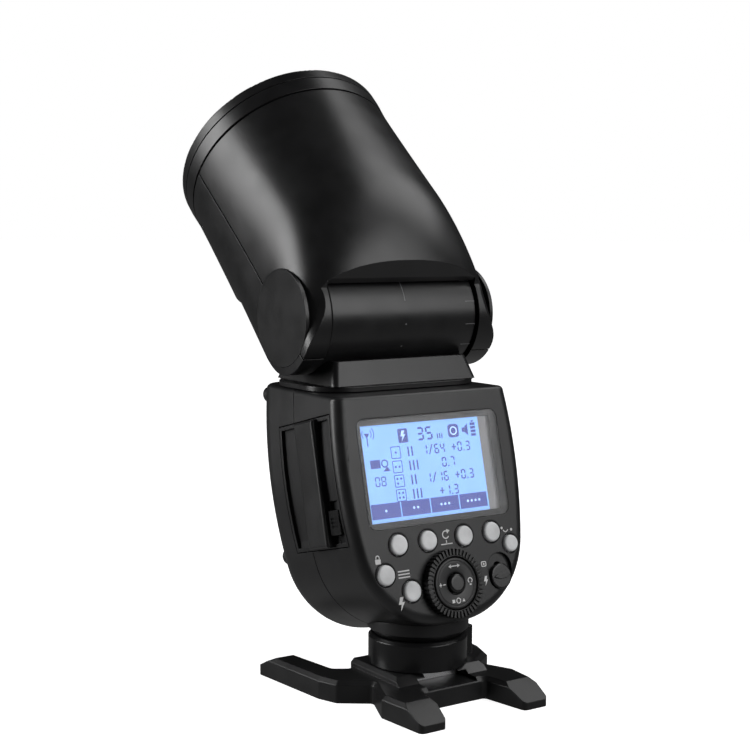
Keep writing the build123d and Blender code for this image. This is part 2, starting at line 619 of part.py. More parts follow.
def head_hollow():
    """Space inside the head's shells, in the head's frame."""
    back, floor = POCKET_Y + HEAD_WALL, FLOOR_MID_Z + HEAD_WALL
    inside = along(cone(head_r(back) - HEAD_WALL, head_r(HEAD_L) - HEAD_WALL, back, HEAD_L))
    return inside & prism([(back, floor), (STEP_Y + 2.4, floor), (STEP_Y + STEP_RUN + 2.4, -38),
                           (STEP_Y + STEP_RUN + 2.4, -60), (99, -60), (99, 60), (back, 60)], -60, 60)


HEAD_SCREWS = ((32.0, 9.0, -12.0, 6.0), (31.5, 62.0, -15.7, 6.0))   # x, y, under-head z, tip z


def head_shells():
    """Top and bottom shell, parted at the height of the hinge."""
    solid = head_form() - head_hollow()
    wall_side = along(cone(head_r(0) - 1, head_r(HEAD_L) - 1, 0, HEAD_L))
    for x, y, _, _ in HEAD_SCREWS[1:]:
        for side in (-1, 1):
            solid += Pos(side * x, y, -25) * disc(BOSS_R, 0, 50) & wall_side
    for x in (-9, 9):
        for y in (34, 58):
            solid += Pos(x, y, 0) * disc(1.8, HEAD_BOARD_Z + BOARD_T, 40) & wall_side
    solid -= ALONG_X * disc(SHAFT_R + 0.02, -60, 60)
    for side in (-1, 1):
        recess = Pos(side * (EAR_HALF - CAP_T), 0, 0) * ALONG_X * (
            disc(CAP_R + SEAT, -3, 0) if side < 0 else disc(CAP_R + SEAT, 0, 3))
        solid -= recess
        for x, y, seat, tip in HEAD_SCREWS:
            solid -= Pos(side * x, y, 0) * disc(SCREW_SHANK_R + 0.05, seat - 1, tip + 0.5)
            solid -= Pos(side * x, y, 0) * disc(SCREW_HEAD_R + SEAT, seat - 20, seat)
    top = solid & box(-60, 60, -60, 99, 0, 60)
    return top, solid & box(-60, 60, -60, 99, -60, -0.15)


def head_screws():
    """Four screws that draw the head's shells together, from below."""
    for x, y, seat, tip in HEAD_SCREWS:
        for side in (-1, 1):
            head_end = seat - SCREW_HEAD_T
            screw = disc(SCREW_SHANK_R, seat, tip) + disc(SCREW_HEAD_R, head_end, seat)
            screw -= Pos(0, 0, head_end) * (Box(2.6, 0.6, 1.2) + Box(0.6, 2.6, 1.2))
            yield head * Pos(side * x, y, 0) * screw


def front_ring():
    """Ring that holds the lens, with magnets round its edge for round accessories."""
    start = HEAD_L - RING_W
    ring = cone(head_r(start), HEAD_R_FRONT, start, HEAD_L - RING_GROOVE)
    ring += disc(HEAD_R_FRONT, HEAD_L - RING_GROOVE, HEAD_L)
    ring = fillet(ring.edges().sort_by(Axis.Z)[-1], 0.5)
    ring -= disc(40, HEAD_L - RING_GROOVE - 0.4, HEAD_L - RING_GROOVE) - disc(HEAD_R_FRONT - 0.4, 0, HEAD_L)
    ring += disc(SPIGOT_R, start - 3.9, start)
    ring -= disc(HEAD_R_FRONT - RING_WALL, LENS_Y, HEAD_L + 1)
    ring -= disc(SPIGOT_R - 1.5, 0, HEAD_L)
    for place in PolarLocations(MAGNET_RING_R, MAGNETS):
        ring -= place * disc(MAGNET_R + 0.02, HEAD_L - 2.2, HEAD_L + 1)
    return ring


MAGNET_R, MAGNET_RING_R = 1.0, 36.6
SPIGOT_R = head_r(HEAD_L - RING_W - 3.9) - HEAD_WALL - SEAT
LENS_Y = HEAD_L - 6.0
HEAD_BOARD_Z = 26.0
FRAME_Y, FRAME_T = 66.8, 2.0

magnets = [place * disc(MAGNET_R, HEAD_L - 2.2, HEAD_L - 0.1) for place in PolarLocations(MAGNET_RING_R, MAGNETS)]
DOME_R = 400.0
lens = disc(HEAD_R_FRONT - RING_WALL - SEAT, LENS_Y, LENS_Y + LENS_T)
lens &= Pos(0, 0, LENS_Y + LENS_T - DOME_R) * Sphere(DOME_R)

frame = disc(SPIGOT_R - 1.7, FRAME_Y, FRAME_Y + FRAME_T, 26.0)
rods = [along(disc(ROD_R, POCKET_Y + HEAD_WALL, FRAME_Y), side * ROD_X, ROD_Z) for side in (-1, 1)]
MOTOR_R, MOTOR_Y, MOTOR_L = 4.8, 39.8, 6.7
motor = along(disc(MOTOR_R, MOTOR_Y, MOTOR_Y + MOTOR_L), 0, SCREW_Z)
screw = along(disc(SCREW_R, MOTOR_Y + MOTOR_L, FRAME_Y), 0, SCREW_Z)


def carriage():
    """Plate on the two rods, with an arm that carries the lead screw's nut."""
    front = CARRIAGE_Y + CARRIAGE_T
    body = along(disc(CARRIAGE_R, CARRIAGE_Y, front)) & box(-40, 40, 0, 99, -13, 20)
    body += box(23, 26, front - 1, 65, -13, -10)
    nut = [(22, -10), (26, -10), (26, -13.5), (4, -31.5), (-4, -31.5), (-4, -24.5), (3, -24.5)]
    nut_face = make_face(Polyline(*nut, close=True))
    body += extrude(Plane.XZ.offset(-62) * nut_face, 3, dir=(0, 1, 0))
    for x in (-ROD_X, ROD_X):
        body -= along(disc(ROD_R + FIT, 0, 99), x, ROD_Z)
    return body - along(disc(SCREW_R + FIT, 0, 99), 0, SCREW_Z)


def reflector():
    """Bowl of parabolic section round the flash tube."""
    def bowl(radius, extra):
        steps = [REFLECTOR_L * k / 6 for k in range(7)]
        points = [(radius * sqrt(y / REFLECTOR_L) + (extra if y else 0), y) for y in steps]
        curve = Spline(*points)
        rim = Polyline(points[-1], (0, REFLECTOR_L), (0, 0))
        return revolve(make_face([curve, rim]), Axis.Y, 360)
    shell = Pos(0, REFLECTOR_Y - 1, 0) * bowl(REFLECTOR_R, REFLECTOR_WALL)
    shell += along(disc(7.0, REFLECTOR_Y - 1, REFLECTOR_Y + 1.2))
    shell -= Pos(0, REFLECTOR_Y, 0) * bowl(REFLECTOR_R, 0)
    shell -= box(-30, 30, REFLECTOR_Y + REFLECTOR_L - 1.0, 99, -40, 40)
    shell &= box(-30, 30, CARRIAGE_Y + CARRIAGE_T, 99, -40, 40)
    return shell - Pos(0, TUBE_Y, 0) * ALONG_X * disc(TUBE_R + GAP, -40, 40)


REFLECTOR_Y = CARRIAGE_Y + CARRIAGE_T + 1.0
TUBE_R, TUBE_HALF = 2.2, 15.0
TUBE_Y = REFLECTOR_Y + 4.5
tube = ALONG_X * disc(TUBE_R, -TUBE_HALF, TUBE_HALF)
led = box(-7, 7, FRAME_Y + FRAME_T, FRAME_Y + FRAME_T + 1.2, -31.0, -27.0)
for x in (-4, 0, 4):
    led += box(x - 1.2, x + 1.2, FRAME_Y + FRAME_T + 1.0, FRAME_Y + FRAME_T + 1.6, -30.2, -27.8)
board = box(-12, 12, 30, 62, HEAD_BOARD_Z, HEAD_BOARD_Z + BOARD_T)
board += box(-6, 6, 36, 48, HEAD_BOARD_Z - 3.5, HEAD_BOARD_Z)
cap = ALONG_X * disc(CAP_R, EAR_HALF - CAP_T + 0.02, EAR_HALF)

top_shell, bottom_shell = head_shells()
save("head_top_shell", head * top_shell)
save("head_bottom_shell", head * bottom_shell)
save("head_screws", list(head_screws()))
save("front_ring", head * along(front_ring()))
save("ring_magnets", [head * along(magnet) for magnet in magnets])
save("front_lens", head * along(lens))
save("front_frame", head * along(frame))
save("guide_rods", [head * rod for rod in rods])
save("zoom_motor", head * motor)
save("lead_screw", head * screw)
save("zoom_carriage", head * carriage())
save("reflector", head * reflector())
save("flash_tube", head * Pos(0, TUBE_Y, 0) * tube)
save("modelling_led", head * led)
save("head_board", head * board)
save("pivot_caps", [head * part for part in both_sides(cap)])


# ---------------------------------------------------------------- foot, lock and stand

def hot_shoe_foot():
    """Metal shoe foot with its stem."""
    foot = box(-SHOE_FOOT / 2, SHOE_FOOT / 2, -SHOE_FOOT / 2, SHOE_FOOT / 2, SHOE_FLOOR, SHOE_FLOOR + SHOE_FOOT_T)
    foot = fillet(foot.edges().filter_by(Axis.Z), 1.0)
    foot += box(-SHOE_STEM / 2, SHOE_STEM / 2, -SHOE_STEM / 2 - 1.4, SHOE_STEM / 2 + 1.4,
                SHOE_FLOOR + SHOE_FOOT_T, LIP_HIGH)
    foot -= Pos(0, LOCK_PIN_Y, 0) * disc(LOCK_PIN_R + FIT, 0, 20)
    for x, y in CONTACTS:
        foot -= Pos(x, y, 0) * disc(CONTACT_R + 0.02, 0, 20)
    return foot


def foot_collar():
    """Tube that the lock ring turns on, flared out to meet the body's belly."""
    collar = disc(PIVOT_R, LIP_HIGH, BODY_BOTTOM + 1.0)
    collar += cone(COLLAR_R, COLLAR_R_TOP, RING_HIGH + GAP, RING_HIGH + GAP + COLLAR_TAPER)
    collar += disc(COLLAR_R_TOP, RING_HIGH + GAP + COLLAR_TAPER, BODY_BOTTOM + 5)
    collar -= form
    collar += disc(PIVOT_R, LIP_HIGH, BODY_BOTTOM + BODY_WALL - 0.2)
    return collar - Pos(0, LOCK_PIN_Y, 0) * disc(LOCK_PIN_R + FIT, 0, 14.0 + GAP)


def lock_ring():
    """Knurled ring with a thumb tab."""
    ring = chamfer(disc(RING_R, RING_LOW, RING_HIGH).edges().sort_by(Axis.Z)[-1], 0.9)
    tab = box(RING_R - 3, RING_R + 3.2, -4.5, 4.5, RING_LOW, RING_HIGH)
    ring += fillet(tab.edges().filter_by(Axis.Z), 1.0)
    return ring - disc(PIVOT_R + FIT, 0, 30)


CONTACTS = ((0, 0), (-4.2, -3.4), (4.2, -3.4), (-4.2, 3.4), (4.2, 3.4))
CONTACT_R = 0.9
LEG = [(0, -19.5), (12.0, -19.5), (14.8, -36.0), (24.0, -36.0), (25.6, -17.5), (20.2, -5.0), (29.6, 1.6),
       (32.0, 8.5), (35.0, 41.5), (26.2, 42.5), (22.6, 14.5), (18.5, 12.0), (14.0, 14.0), (0, 14.0)]


def mini_stand():
    """Four-legged stand moulded with a cold shoe on top."""
    right = make_face(Polyline(*LEG, close=True))
    outline = right + mirror(right, Plane.YZ)
    outline = fillet(outline.vertices(), 1.6)
    legs = extrude(outline, LEG_H)
    legs = chamfer(legs.faces().sort_by(Axis.Z)[-1].edges(), 1.3)
    for y_tip, way in ((-36.0, -1), (42.5, 1)):
        wedge = Pos(0, y_tip - way * 9.0, LEG_H) * Rot(-way * 27, 0, 0) * box(-60, 60, -40 if way < 0 else 0,
                                                                             0 if way < 0 else 40, 0, 20)
        legs -= wedge
    rails = box(-RAIL_OUT, RAIL_OUT, -11.4, 13.0, SHOE_FLOOR - 1.0, LIP_HIGH)
    rails += prism([(-17.0, SHOE_FLOOR - 1.0), (-11.4, SHOE_FLOOR - 1.0), (-11.4, LIP_HIGH)], -RAIL_OUT, RAIL_OUT)
    rails = chamfer(rails.edges().filter_by(Axis.Y).group_by(Axis.Z)[-1], 1.2)
    stand = legs + rails
    stand -= box(-RAIL_IN, RAIL_IN, -40, SHOE_FOOT / 2 + SEAT, SHOE_FLOOR - 0.05, LIP_LOW)
    stand -= box(-LIP_IN, LIP_IN, -40, SHOE_FOOT / 2 + SEAT, SHOE_FLOOR - 0.05, 20)
    stand -= Pos(0, LOCK_PIN_Y, 0) * disc(LOCK_PIN_R + GAP, SHOE_FLOOR - LOCK_PIN_TRAVEL - 0.3, 20)
    return stand - disc(INSERT_R + 0.02, -1, THREAD_L)


save("hot_shoe_foot", hot_shoe_foot())
save("contact_pins", [Pos(x, y, 0) * disc(CONTACT_R, SHOE_FLOOR, LIP_HIGH) for x, y in CONTACTS])
save("foot_collar", foot_collar())
save("lock_ring", lock_ring())
save("lock_pin", Pos(0, LOCK_PIN_Y, 0) * disc(LOCK_PIN_R, SHOE_FLOOR + 0.2, 14.0 - LOCK_PIN_TRAVEL))
save("mini_stand", mini_stand())
save("thread_insert", disc(INSERT_R, 0, THREAD_L, THREAD_R))
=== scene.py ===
"""Round-head speedlight on its mini stand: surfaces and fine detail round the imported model."""
import json
from math import cos, pi, radians, sin

import bmesh
import bpy
from mathutils import Matrix, Vector


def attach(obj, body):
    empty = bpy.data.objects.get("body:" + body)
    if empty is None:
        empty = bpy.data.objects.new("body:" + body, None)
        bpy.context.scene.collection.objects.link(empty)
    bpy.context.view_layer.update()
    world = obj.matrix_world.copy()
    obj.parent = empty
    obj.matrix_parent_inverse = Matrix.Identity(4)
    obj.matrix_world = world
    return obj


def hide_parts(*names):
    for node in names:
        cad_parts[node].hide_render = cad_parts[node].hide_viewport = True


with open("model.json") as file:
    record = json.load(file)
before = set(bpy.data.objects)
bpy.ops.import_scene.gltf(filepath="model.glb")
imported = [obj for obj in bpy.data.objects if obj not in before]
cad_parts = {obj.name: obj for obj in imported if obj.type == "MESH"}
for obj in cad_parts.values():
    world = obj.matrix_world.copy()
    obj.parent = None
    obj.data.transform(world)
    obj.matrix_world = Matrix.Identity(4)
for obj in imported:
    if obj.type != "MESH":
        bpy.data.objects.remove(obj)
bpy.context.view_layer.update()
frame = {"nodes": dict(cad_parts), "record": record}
record = frame["record"]


# ---------------------------------------------------------------- shared values and finishes
# Lengths are in millimetres until MM turns them into metres.
# Every finish is moulded plastic, turned metal, clear plastic or a lit layer, built from noise of a real size.
MM = 0.001
SHARP = radians(32)
body_of = {node: body for body, nodes in record["behaviour"]["bodies"].items() for node in nodes}


def new_finish(name):
    """A material, its node tree, its shader and the piece's own coordinates."""
    finish = bpy.data.materials.new(name)
    finish.use_nodes = True
    tree = finish.node_tree
    coords = tree.nodes.new("ShaderNodeTexCoord")
    return finish, tree, tree.nodes["Principled BSDF"], coords.outputs["Object"]


def add_noise(tree, coords, size, detail=3.0, stretch=None):
    """Noise whose lumps are about size metres across."""
    noise = tree.nodes.new("ShaderNodeTexNoise")
    noise.inputs["Scale"].default_value = 1.0 / size
    noise.inputs["Detail"].default_value = detail
    if stretch:
        mapping = tree.nodes.new("ShaderNodeMapping")
        mapping.inputs["Scale"].default_value = stretch
        tree.links.new(coords, mapping.inputs["Vector"])
        coords = mapping.outputs["Vector"]
    tree.links.new(coords, noise.inputs["Vector"])
    return noise.outputs["Fac"]


def spread(tree, value, low, high, socket):
    """Sends a noise value to a socket, spread between two limits."""
    ranged = tree.nodes.new("ShaderNodeMapRange")
    ranged.inputs["From Min"].default_value = 0.3
    ranged.inputs["From Max"].default_value = 0.7
    ranged.inputs["To Min"].default_value = low
    ranged.inputs["To Max"].default_value = high
    tree.links.new(value, ranged.inputs["Value"])
    tree.links.new(ranged.outputs["Result"], socket)


def tint(tree, value, dark, light, socket):
    """Sends a noise value to a colour socket, between two colours."""
    ramp = tree.nodes.new("ShaderNodeValToRGB")
    ramp.color_ramp.elements[0].position = 0.35
    ramp.color_ramp.elements[1].position = 0.65
    ramp.color_ramp.elements[0].color = (*dark, 1)
    ramp.color_ramp.elements[1].color = (*light, 1)
    tree.links.new(value, ramp.inputs["Fac"])
    tree.links.new(ramp.outputs["Color"], socket)


def add_bump(tree, shader, value, depth, edge=0.0):
    """Relief of a given depth in metres, over edges that are rounded by a small radius."""
    bump = tree.nodes.new("ShaderNodeBump")
    bump.inputs["Strength"].default_value = 1.0
    bump.inputs["Distance"].default_value = depth
    tree.links.new(value, bump.inputs["Height"])
    tree.links.new(bump.outputs["Normal"], shader.inputs["Normal"])
    if edge:
        bevel = tree.nodes.new("ShaderNodeBevel")
        bevel.samples = 6
        bevel.inputs["Radius"].default_value = edge
        tree.links.new(bevel.outputs["Normal"], bump.inputs["Normal"])


def moulded_plastic(name, colour, rough, grain, depth, edge=0.25 * MM):
    """Moulded plastic with an eroded grain, slightly uneven in gloss."""
    finish, tree, shader, coords = new_finish(name)
    cloud = add_noise(tree, coords, 9 * MM, 4.0)
    tint(tree, cloud, [c * 0.85 for c in colour], [c * 1.15 for c in colour], shader.inputs["Base Color"])
    spread(tree, cloud, rough - 0.03, rough + 0.03, shader.inputs["Roughness"])
    shader.inputs["Specular IOR Level"].default_value = 0.5
    add_bump(tree, shader, add_noise(tree, coords, grain, 2.0), depth, edge)
    return finish


def settle(piece, node, finish, sharp=SHARP, replaces=True):
    """Smooths a piece, gives it its finish, and lets it ride and stand for its node."""
    if not piece.users_collection:
        bpy.context.scene.collection.objects.link(piece)
    piece.data.materials.clear()
    piece.data.materials.append(finish)
    piece.data.polygons.foreach_set("use_smooth", [True] * len(piece.data.polygons))
    piece.data.polygons.foreach_set("material_index", [0] * len(piece.data.polygons))
    piece.data.set_sharp_from_angle(angle=sharp)
    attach(piece, body_of[node])
    if replaces:
        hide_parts(node)
    return piece


def refinish(finish, *nodes):
    """Gives CAD nodes, whose form is right as it is, their finish."""
    for node in nodes:
        mesh = frame["nodes"][node].data
        mesh.materials.clear()
        mesh.materials.append(finish)
        mesh.polygons.foreach_set("material_index", [0] * len(mesh.polygons))


# ---------------------------------------------------------------- mini stand
# A four-legged stand moulded in black nylon with a cold shoe on its back.
# Its skin has a fine spark-eroded grain, and a brass insert is pressed in from below.
stand_nylon = moulded_plastic("stand_nylon", (0.012, 0.012, 0.0125), 0.36, 0.16 * MM, 0.010 * MM, 0.4 * MM)
refinish(stand_nylon, "mini_stand")


def turned_metal(name, colour, rough, stretch=(1, 1, 30)):
    """Turned or drawn metal with fine lines along it."""
    finish, tree, shader, coords = new_finish(name)
    lines = add_noise(tree, coords, 0.4 * MM, 2.0, stretch)
    tint(tree, lines, [c * 0.85 for c in colour], colour, shader.inputs["Base Color"])
    spread(tree, lines, rough - 0.06, rough + 0.08, shader.inputs["Roughness"])
    shader.inputs["Metallic"].default_value = 1.0
    add_bump(tree, shader, lines, 0.004 * MM, 0.15 * MM)
    return finish


brass = turned_metal("turned_brass", (0.75, 0.55, 0.25), 0.3)
refinish(brass, "thread_insert")


# ---------------------------------------------------------------- shoe foot
# The foot that slides into the shoe is machined from bright metal.
# Five gilt contact pins stand in it.
shoe_metal = turned_metal("shoe_metal", (0.62, 0.62, 0.63), 0.3, (8, 1, 8))
refinish(shoe_metal, "hot_shoe_foot")
refinish(turned_metal("gilt", (0.83, 0.6, 0.22), 0.2), "contact_pins")
bright_steel = turned_metal("bright_steel", (0.6, 0.6, 0.61), 0.25)
refinish(bright_steel, "lock_pin", "guide_rods", "lead_screw", "tilt_washers", "detent_plunger",
         "tilt_detent_disc", "hinge_shaft", "swivel_retainer", "zoom_motor")


# ---------------------------------------------------------------- lock ring and collar
# The ring that clamps the foot is moulded in a harder, glossier plastic.
# The collar above it belongs to the body.
hard_gloss = moulded_plastic("hard_gloss_plastic", (0.010, 0.010, 0.0105), 0.24, 0.3 * MM, 0.003 * MM,
                             0.35 * MM)
refinish(hard_gloss, "lock_ring")
housing_plastic = moulded_plastic("housing_plastic", (0.014, 0.014, 0.0148), 0.38, 0.15 * MM, 0.009 * MM,
                                  0.35 * MM)
refinish(housing_plastic, "foot_collar")


# ---------------------------------------------------------------- body housings
# Two mouldings meet at the seam round the sides.
# Four black screws hold them together from the front.
refinish(housing_plastic, "rear_housing")
refinish(housing_plastic, "front_housing")
black_steel = turned_metal("black_oxide_steel", (0.05, 0.05, 0.052), 0.35)
refinish(black_steel, "housing_screws", "head_screws")


def clear_plastic(name, colour, rough):
    """Clear or tinted window plastic with the faintest ripple."""
    finish, tree, shader, coords = new_finish(name)
    ripple = add_noise(tree, coords, 6 * MM, 1.0)
    tint(tree, ripple, colour, [min(1.0, c * 1.03) for c in colour], shader.inputs["Base Color"])
    shader.inputs["Roughness"].default_value = rough
    shader.inputs["Transmission Weight"].default_value = 1.0
    shader.inputs["IOR"].default_value = 1.3
    add_bump(tree, shader, ripple, 0.002 * MM)
    return finish


refinish(clear_plastic("red_window", (0.25, 0.004, 0.006), 0.15), "assist_window")


# ---------------------------------------------------------------- battery
# The pack's end closes the left side: a lid with a raised grip rib and a sliding catch.
# The cells inside are shrink-wrapped.
refinish(housing_plastic, "battery_case")
refinish(hard_gloss, "battery_latch")
refinish(moulded_plastic("shrink_wrap", (0.02, 0.09, 0.32), 0.25, 2 * MM, 0.02 * MM), "battery_cells")
inner_plastic = moulded_plastic("inner_plastic", (0.03, 0.03, 0.032), 0.5, 0.3 * MM, 0.01 * MM)
refinish(inner_plastic, "battery_bay", "port_sockets", "dial_core", "front_frame", "zoom_carriage",
         "nav_gimbal")


# ---------------------------------------------------------------- socket flap
# A soft black rubber flap lies over the sockets in the right side.
# It is duller than the plastic round it.
rubber = moulded_plastic("black_rubber", (0.02, 0.02, 0.02), 0.62, 0.2 * MM, 0.01 * MM)
refinish(rubber, "port_cover")


# ---------------------------------------------------------------- display
# A clear hard-coated window over a printed mask and a backlit liquid-crystal panel.
# The picture is dark blue on pale blue, with a bar of four soft-key fields.
LEAN = radians(14.08)
PANEL_POINT = Vector((0, -8.64, 72.80)) * MM
PANEL_UP = Vector((0, sin(LEAN), cos(LEAN)))
PANEL_OUT = Vector((0, -cos(LEAN), sin(LEAN)))
PICTURE_OUT = -2.02
INK = 0.03


def on_panel(x, up, out):
    """A point on the control panel, from millimetres across, up it and out of it."""
    return PANEL_POINT + Vector((x, 0, 0)) * MM + PANEL_UP * up * MM + PANEL_OUT * out * MM


def slab(form, points, low, high, put):
    """Closed slab on a simple outline, between two heights."""
    if sum(a[0] * b[1] - b[0] * a[1] for a, b in zip(points, points[1:] + points[:1])) < 0:
        points = points[::-1]
    bottom = [form.verts.new(put(x, y, low)) for x, y in points]
    top = [form.verts.new(put(x, y, high)) for x, y in points]
    form.faces.new(top)
    form.faces.new(bottom[::-1])
    for k in range(len(points)):
        n = (k + 1) % len(points)
        form.faces.new((bottom[k], bottom[n], top[n], top[k]))


def band(form, points, width, low, high, put, closed=False):
    """Closed strip of even width along a line of points."""
    count = len(points)
    sides = []
    for k, (x, y) in enumerate(points):
        before = Vector(points[k - 1]) if k or closed else None
        after = Vector(points[(k + 1) % count]) if k < count - 1 or closed else None
        here = Vector((x, y))
        first = (here - before).normalized() if before else (after - here).normalized()
        second = (after - here).normalized() if after else first
        middle = (first + second).normalized()
        across = Vector((-middle.y, middle.x)) * width / 2 / max(0.4, middle.dot(first))
        sides.append((here + across, here - across))
    rows = [[form.verts.new(put(*p, z)) for p, z in ((a, high), (b, high), (b, low), (a, low))]
            for a, b in sides]
    last = count if closed else count - 1
    for k in range(last):
        row, nxt = rows[k], rows[(k + 1) % count]
        for j in range(4):
            form.faces.new((row[j], nxt[j], nxt[(j + 1) % 4], row[(j + 1) % 4]))
    if not closed:
        form.faces.new(rows[0])
        form.faces.new(rows[-1][::-1])


def rect(x, y, w, h):
    """Corners of a rectangle about its middle."""
    return [(x - w / 2, y - h / 2), (x + w / 2, y - h / 2), (x + w / 2, y + h / 2), (x - w / 2, y + h / 2)]


def round_rect(x, y, w, h, r, steps=4):
    """Outline of a rectangle with rounded corners."""
    points = []
    for k, (sx, sy) in enumerate(((1, 1), (-1, 1), (-1, -1), (1, -1))):
        for j in range(steps + 1):
            turn = (k + j / steps) * pi / 2
            points.append((x + sx * (w / 2 - r) + r * cos(turn), y + sy * (h / 2 - r) + r * sin(turn)))
    return points


def arc(x, y, r, start, end, steps=16):
    """Points along an arc, in degrees."""
    return [(x + r * cos(radians(start + (end - start) * k / steps)),
             y + r * sin(radians(start + (end - start) * k / steps))) for k in range(steps + 1)]


def ring_points(x, y, r, steps=24):
    """Points round a circle."""
    return arc(x, y, r, 0, 360, steps)[:-1]


SEGMENTS = {"0": "abcdef", "1": "bc", "2": "abged", "3": "abgcd", "4": "fgbc", "5": "afgcd", "6": "afgedc",
            "7": "abc", "8": "abcdefg", "9": "abcdfg"}


def digit(form, sign, x, y, w, h, bar, low, high, put):
    """Seven-segment figure, dot, slash or plus."""
    if sign == ".":
        return slab(form, rect(x - w / 2 + bar / 2, y - h / 2 + bar / 2, bar, bar), low, high, put)
    if sign == "/":
        return slab(form, [(x - w / 2, y - h / 2), (x - w / 2 + bar, y - h / 2), (x + w / 2, y + h / 2),
                           (x + w / 2 - bar, y + h / 2)], low, high, put)
    if sign == "+":
        slab(form, rect(x, y, w * 0.9, bar), low, high, put)
        for side in (-1, 1):
            slab(form, rect(x, y + side * (w * 0.22 + bar / 2), bar, w * 0.4), low, high, put)
        return None
    gap = bar * 0.12
    level = w - bar * 1.2
    post = h / 2 - bar * 1.1
    side, edge = w / 2 - bar / 2, h / 2 - bar / 2
    spots = {"a": (0, edge, level, bar), "g": (0, 0, level, bar), "d": (0, -edge, level, bar),
             "f": (-side, h / 4, bar, post), "b": (side, h / 4, bar, post),
             "e": (-side, -h / 4, bar, post), "c": (side, -h / 4, bar, post)}
    for part in SEGMENTS[sign]:
        dx, dy, sx, sy = spots[part]
        if part in "agd":
            left, right, middle = x + dx - sx / 2, x + dx + sx / 2, y + dy
            points = [(left, middle), (left + bar / 2, middle - sy / 2), (right - bar / 2, middle - sy / 2),
                      (right, middle), (right - bar / 2, middle + sy / 2), (left + bar / 2, middle + sy / 2)]
        else:
            points = rect(x + dx, y + dy, sx, sy - gap)
        slab(form, points, low, high, put)


def figures(form, text, x, y, w, h, bar, low, high, put):
    """A row of figures from left to right; a dot takes less room."""
    for sign in text:
        if sign != " ":
            digit(form, sign, x, y, w, h, bar, low, high, put)
        x += w * (0.55 if sign == "." else 1.28)


def printed(name, draw, finish, node):
    """A thin layer of print or liquid crystal, drawn by a function on a new mesh."""
    form = bmesh.new()
    draw(form)
    mesh = bpy.data.meshes.new(name)
    form.to_mesh(mesh)
    form.free()
    return settle(bpy.data.objects.new(name, mesh), node, finish, replaces=False)


def glowing(name, colour, strength):
    """Backlit layer, a little uneven in brightness."""
    finish, tree, shader, coords = new_finish(name)
    cloud = add_noise(tree, coords, 8 * MM, 2.0)
    tint(tree, cloud, [c * 0.94 for c in colour], colour, shader.inputs["Base Color"])
    tint(tree, cloud, [c * 0.94 for c in colour], colour, shader.inputs["Emission Color"])
    shader.inputs["Emission Strength"].default_value = strength
    shader.inputs["Roughness"].default_value = 0.35
    return finish


def display_field(form):
    """The lit field behind everything."""
    slab(form, rect(-2.4, 0, 45.4, 29.8), PICTURE_OUT, PICTURE_OUT + INK, on_panel)


def display_picture(form):
    """Figures, pictograms and the soft-key bar."""
    low, high = PICTURE_OUT + INK, PICTURE_OUT + 2 * INK
    for k in range(4):
        slab(form, rect(-18.9 + k * 11.1, -11.4, 10.7, 4.6), low, high, on_panel)
    slab(form, round_rect(-9.2, 11.0, 3.6, 4.4, 0.4), low, high, on_panel)
    figures(form, "35", -2.6, 11.1, 2.6, 4.2, 0.62, low, high, on_panel)
    for k in range(3):
        slab(form, rect(3.9 + k * 0.85, 9.9, 0.4, 1.5), low, high, on_panel)
    slab(form, round_rect(10.2, 11.1, 4.2, 4.2, 1.0), low, high, on_panel)
    slab(form, [(13.6, 10.4), (14.5, 10.4), (15.9, 9.2), (15.9, 13.0), (14.5, 11.8), (13.6, 11.8)],
         low, high, on_panel)
    for k in range(4):
        slab(form, rect(18.0, 9.3 + k * 1.15, 1.9, 0.85), low, high, on_panel)
    slab(form, rect(18.0, 13.6, 0.9, 0.5), low, high, on_panel)
    slab(form, [(-23.4, 12.6), (-21.4, 12.6), (-22.2, 11.4), (-22.2, 8.6), (-22.6, 8.6), (-22.6, 11.4)],
         low, high, on_panel)
    for r in (1.7, 2.6):
        for start in (-40, 140):
            band(form, arc(-22.4, 12.4, r, start, start + 80, 8), 0.28, low, high, on_panel)
    rows = ((6.0, "1/64 +0.3", "||"), (1.6, "   0.7", "|||"),
            (-2.8, "1/16 +0.3", "||"), (-7.2, "  +1.3", "|||"))
    for k, (up, text, marks) in enumerate(rows):
        band(form, round_rect(-12.6, up, 3.4, 3.6, 0.3, 2), 0.26, low, high, on_panel, True)
        for j in range(k + 1):
            x = -12.6 + (-0.7 if j % 2 == 0 else 0.7) * (k > 0)
            y = up + ((0.7 if j < 2 else -0.7) if k > 1 else 0)
            slab(form, ring_points(x, y, 0.36, 10), low, high, on_panel)
        for j in range(len(marks)):
            slab(form, rect(-7.9 + j * 1.4, up, 0.55, 3.0), low, high, on_panel)
        figures(form, text, -1.6, up, 1.75, 3.1, 0.44, low, high, on_panel)
    slab(form, rect(-20.6, 3.0, 3.6, 2.6), low, high, on_panel)
    band(form, ring_points(-17.2, 3.0, 1.1, 14), 0.4, low, high, on_panel, True)
    slab(form, [(-18.0, 0.6), (-15.4, 0.6), (-16.4, 2.0)], low, high, on_panel)
    figures(form, "08", -20.6, -2.4, 1.75, 3.0, 0.36, low, high, on_panel)


def key_bar_marks(form):
    """Light marks on the dark fields of the soft-key bar, one to four dots, and on the mode box."""
    low, high = PICTURE_OUT + 2 * INK, PICTURE_OUT + 3 * INK
    for k in range(4):
        for j in range(k + 1):
            slab(form, ring_points(-18.9 + k * 11.1 + (j - k / 2) * 1.5, -11.4, 0.42, 10), low, high, on_panel)
    slab(form, [(-9.5, 12.6), (-8.4, 12.6), (-9.0, 11.4), (-8.2, 11.4), (-9.9, 9.2), (-9.3, 10.8),
                (-10.1, 10.8)], low, high, on_panel)
    band(form, ring_points(10.2, 11.1, 1.2, 14), 0.4, low, high, on_panel, True)


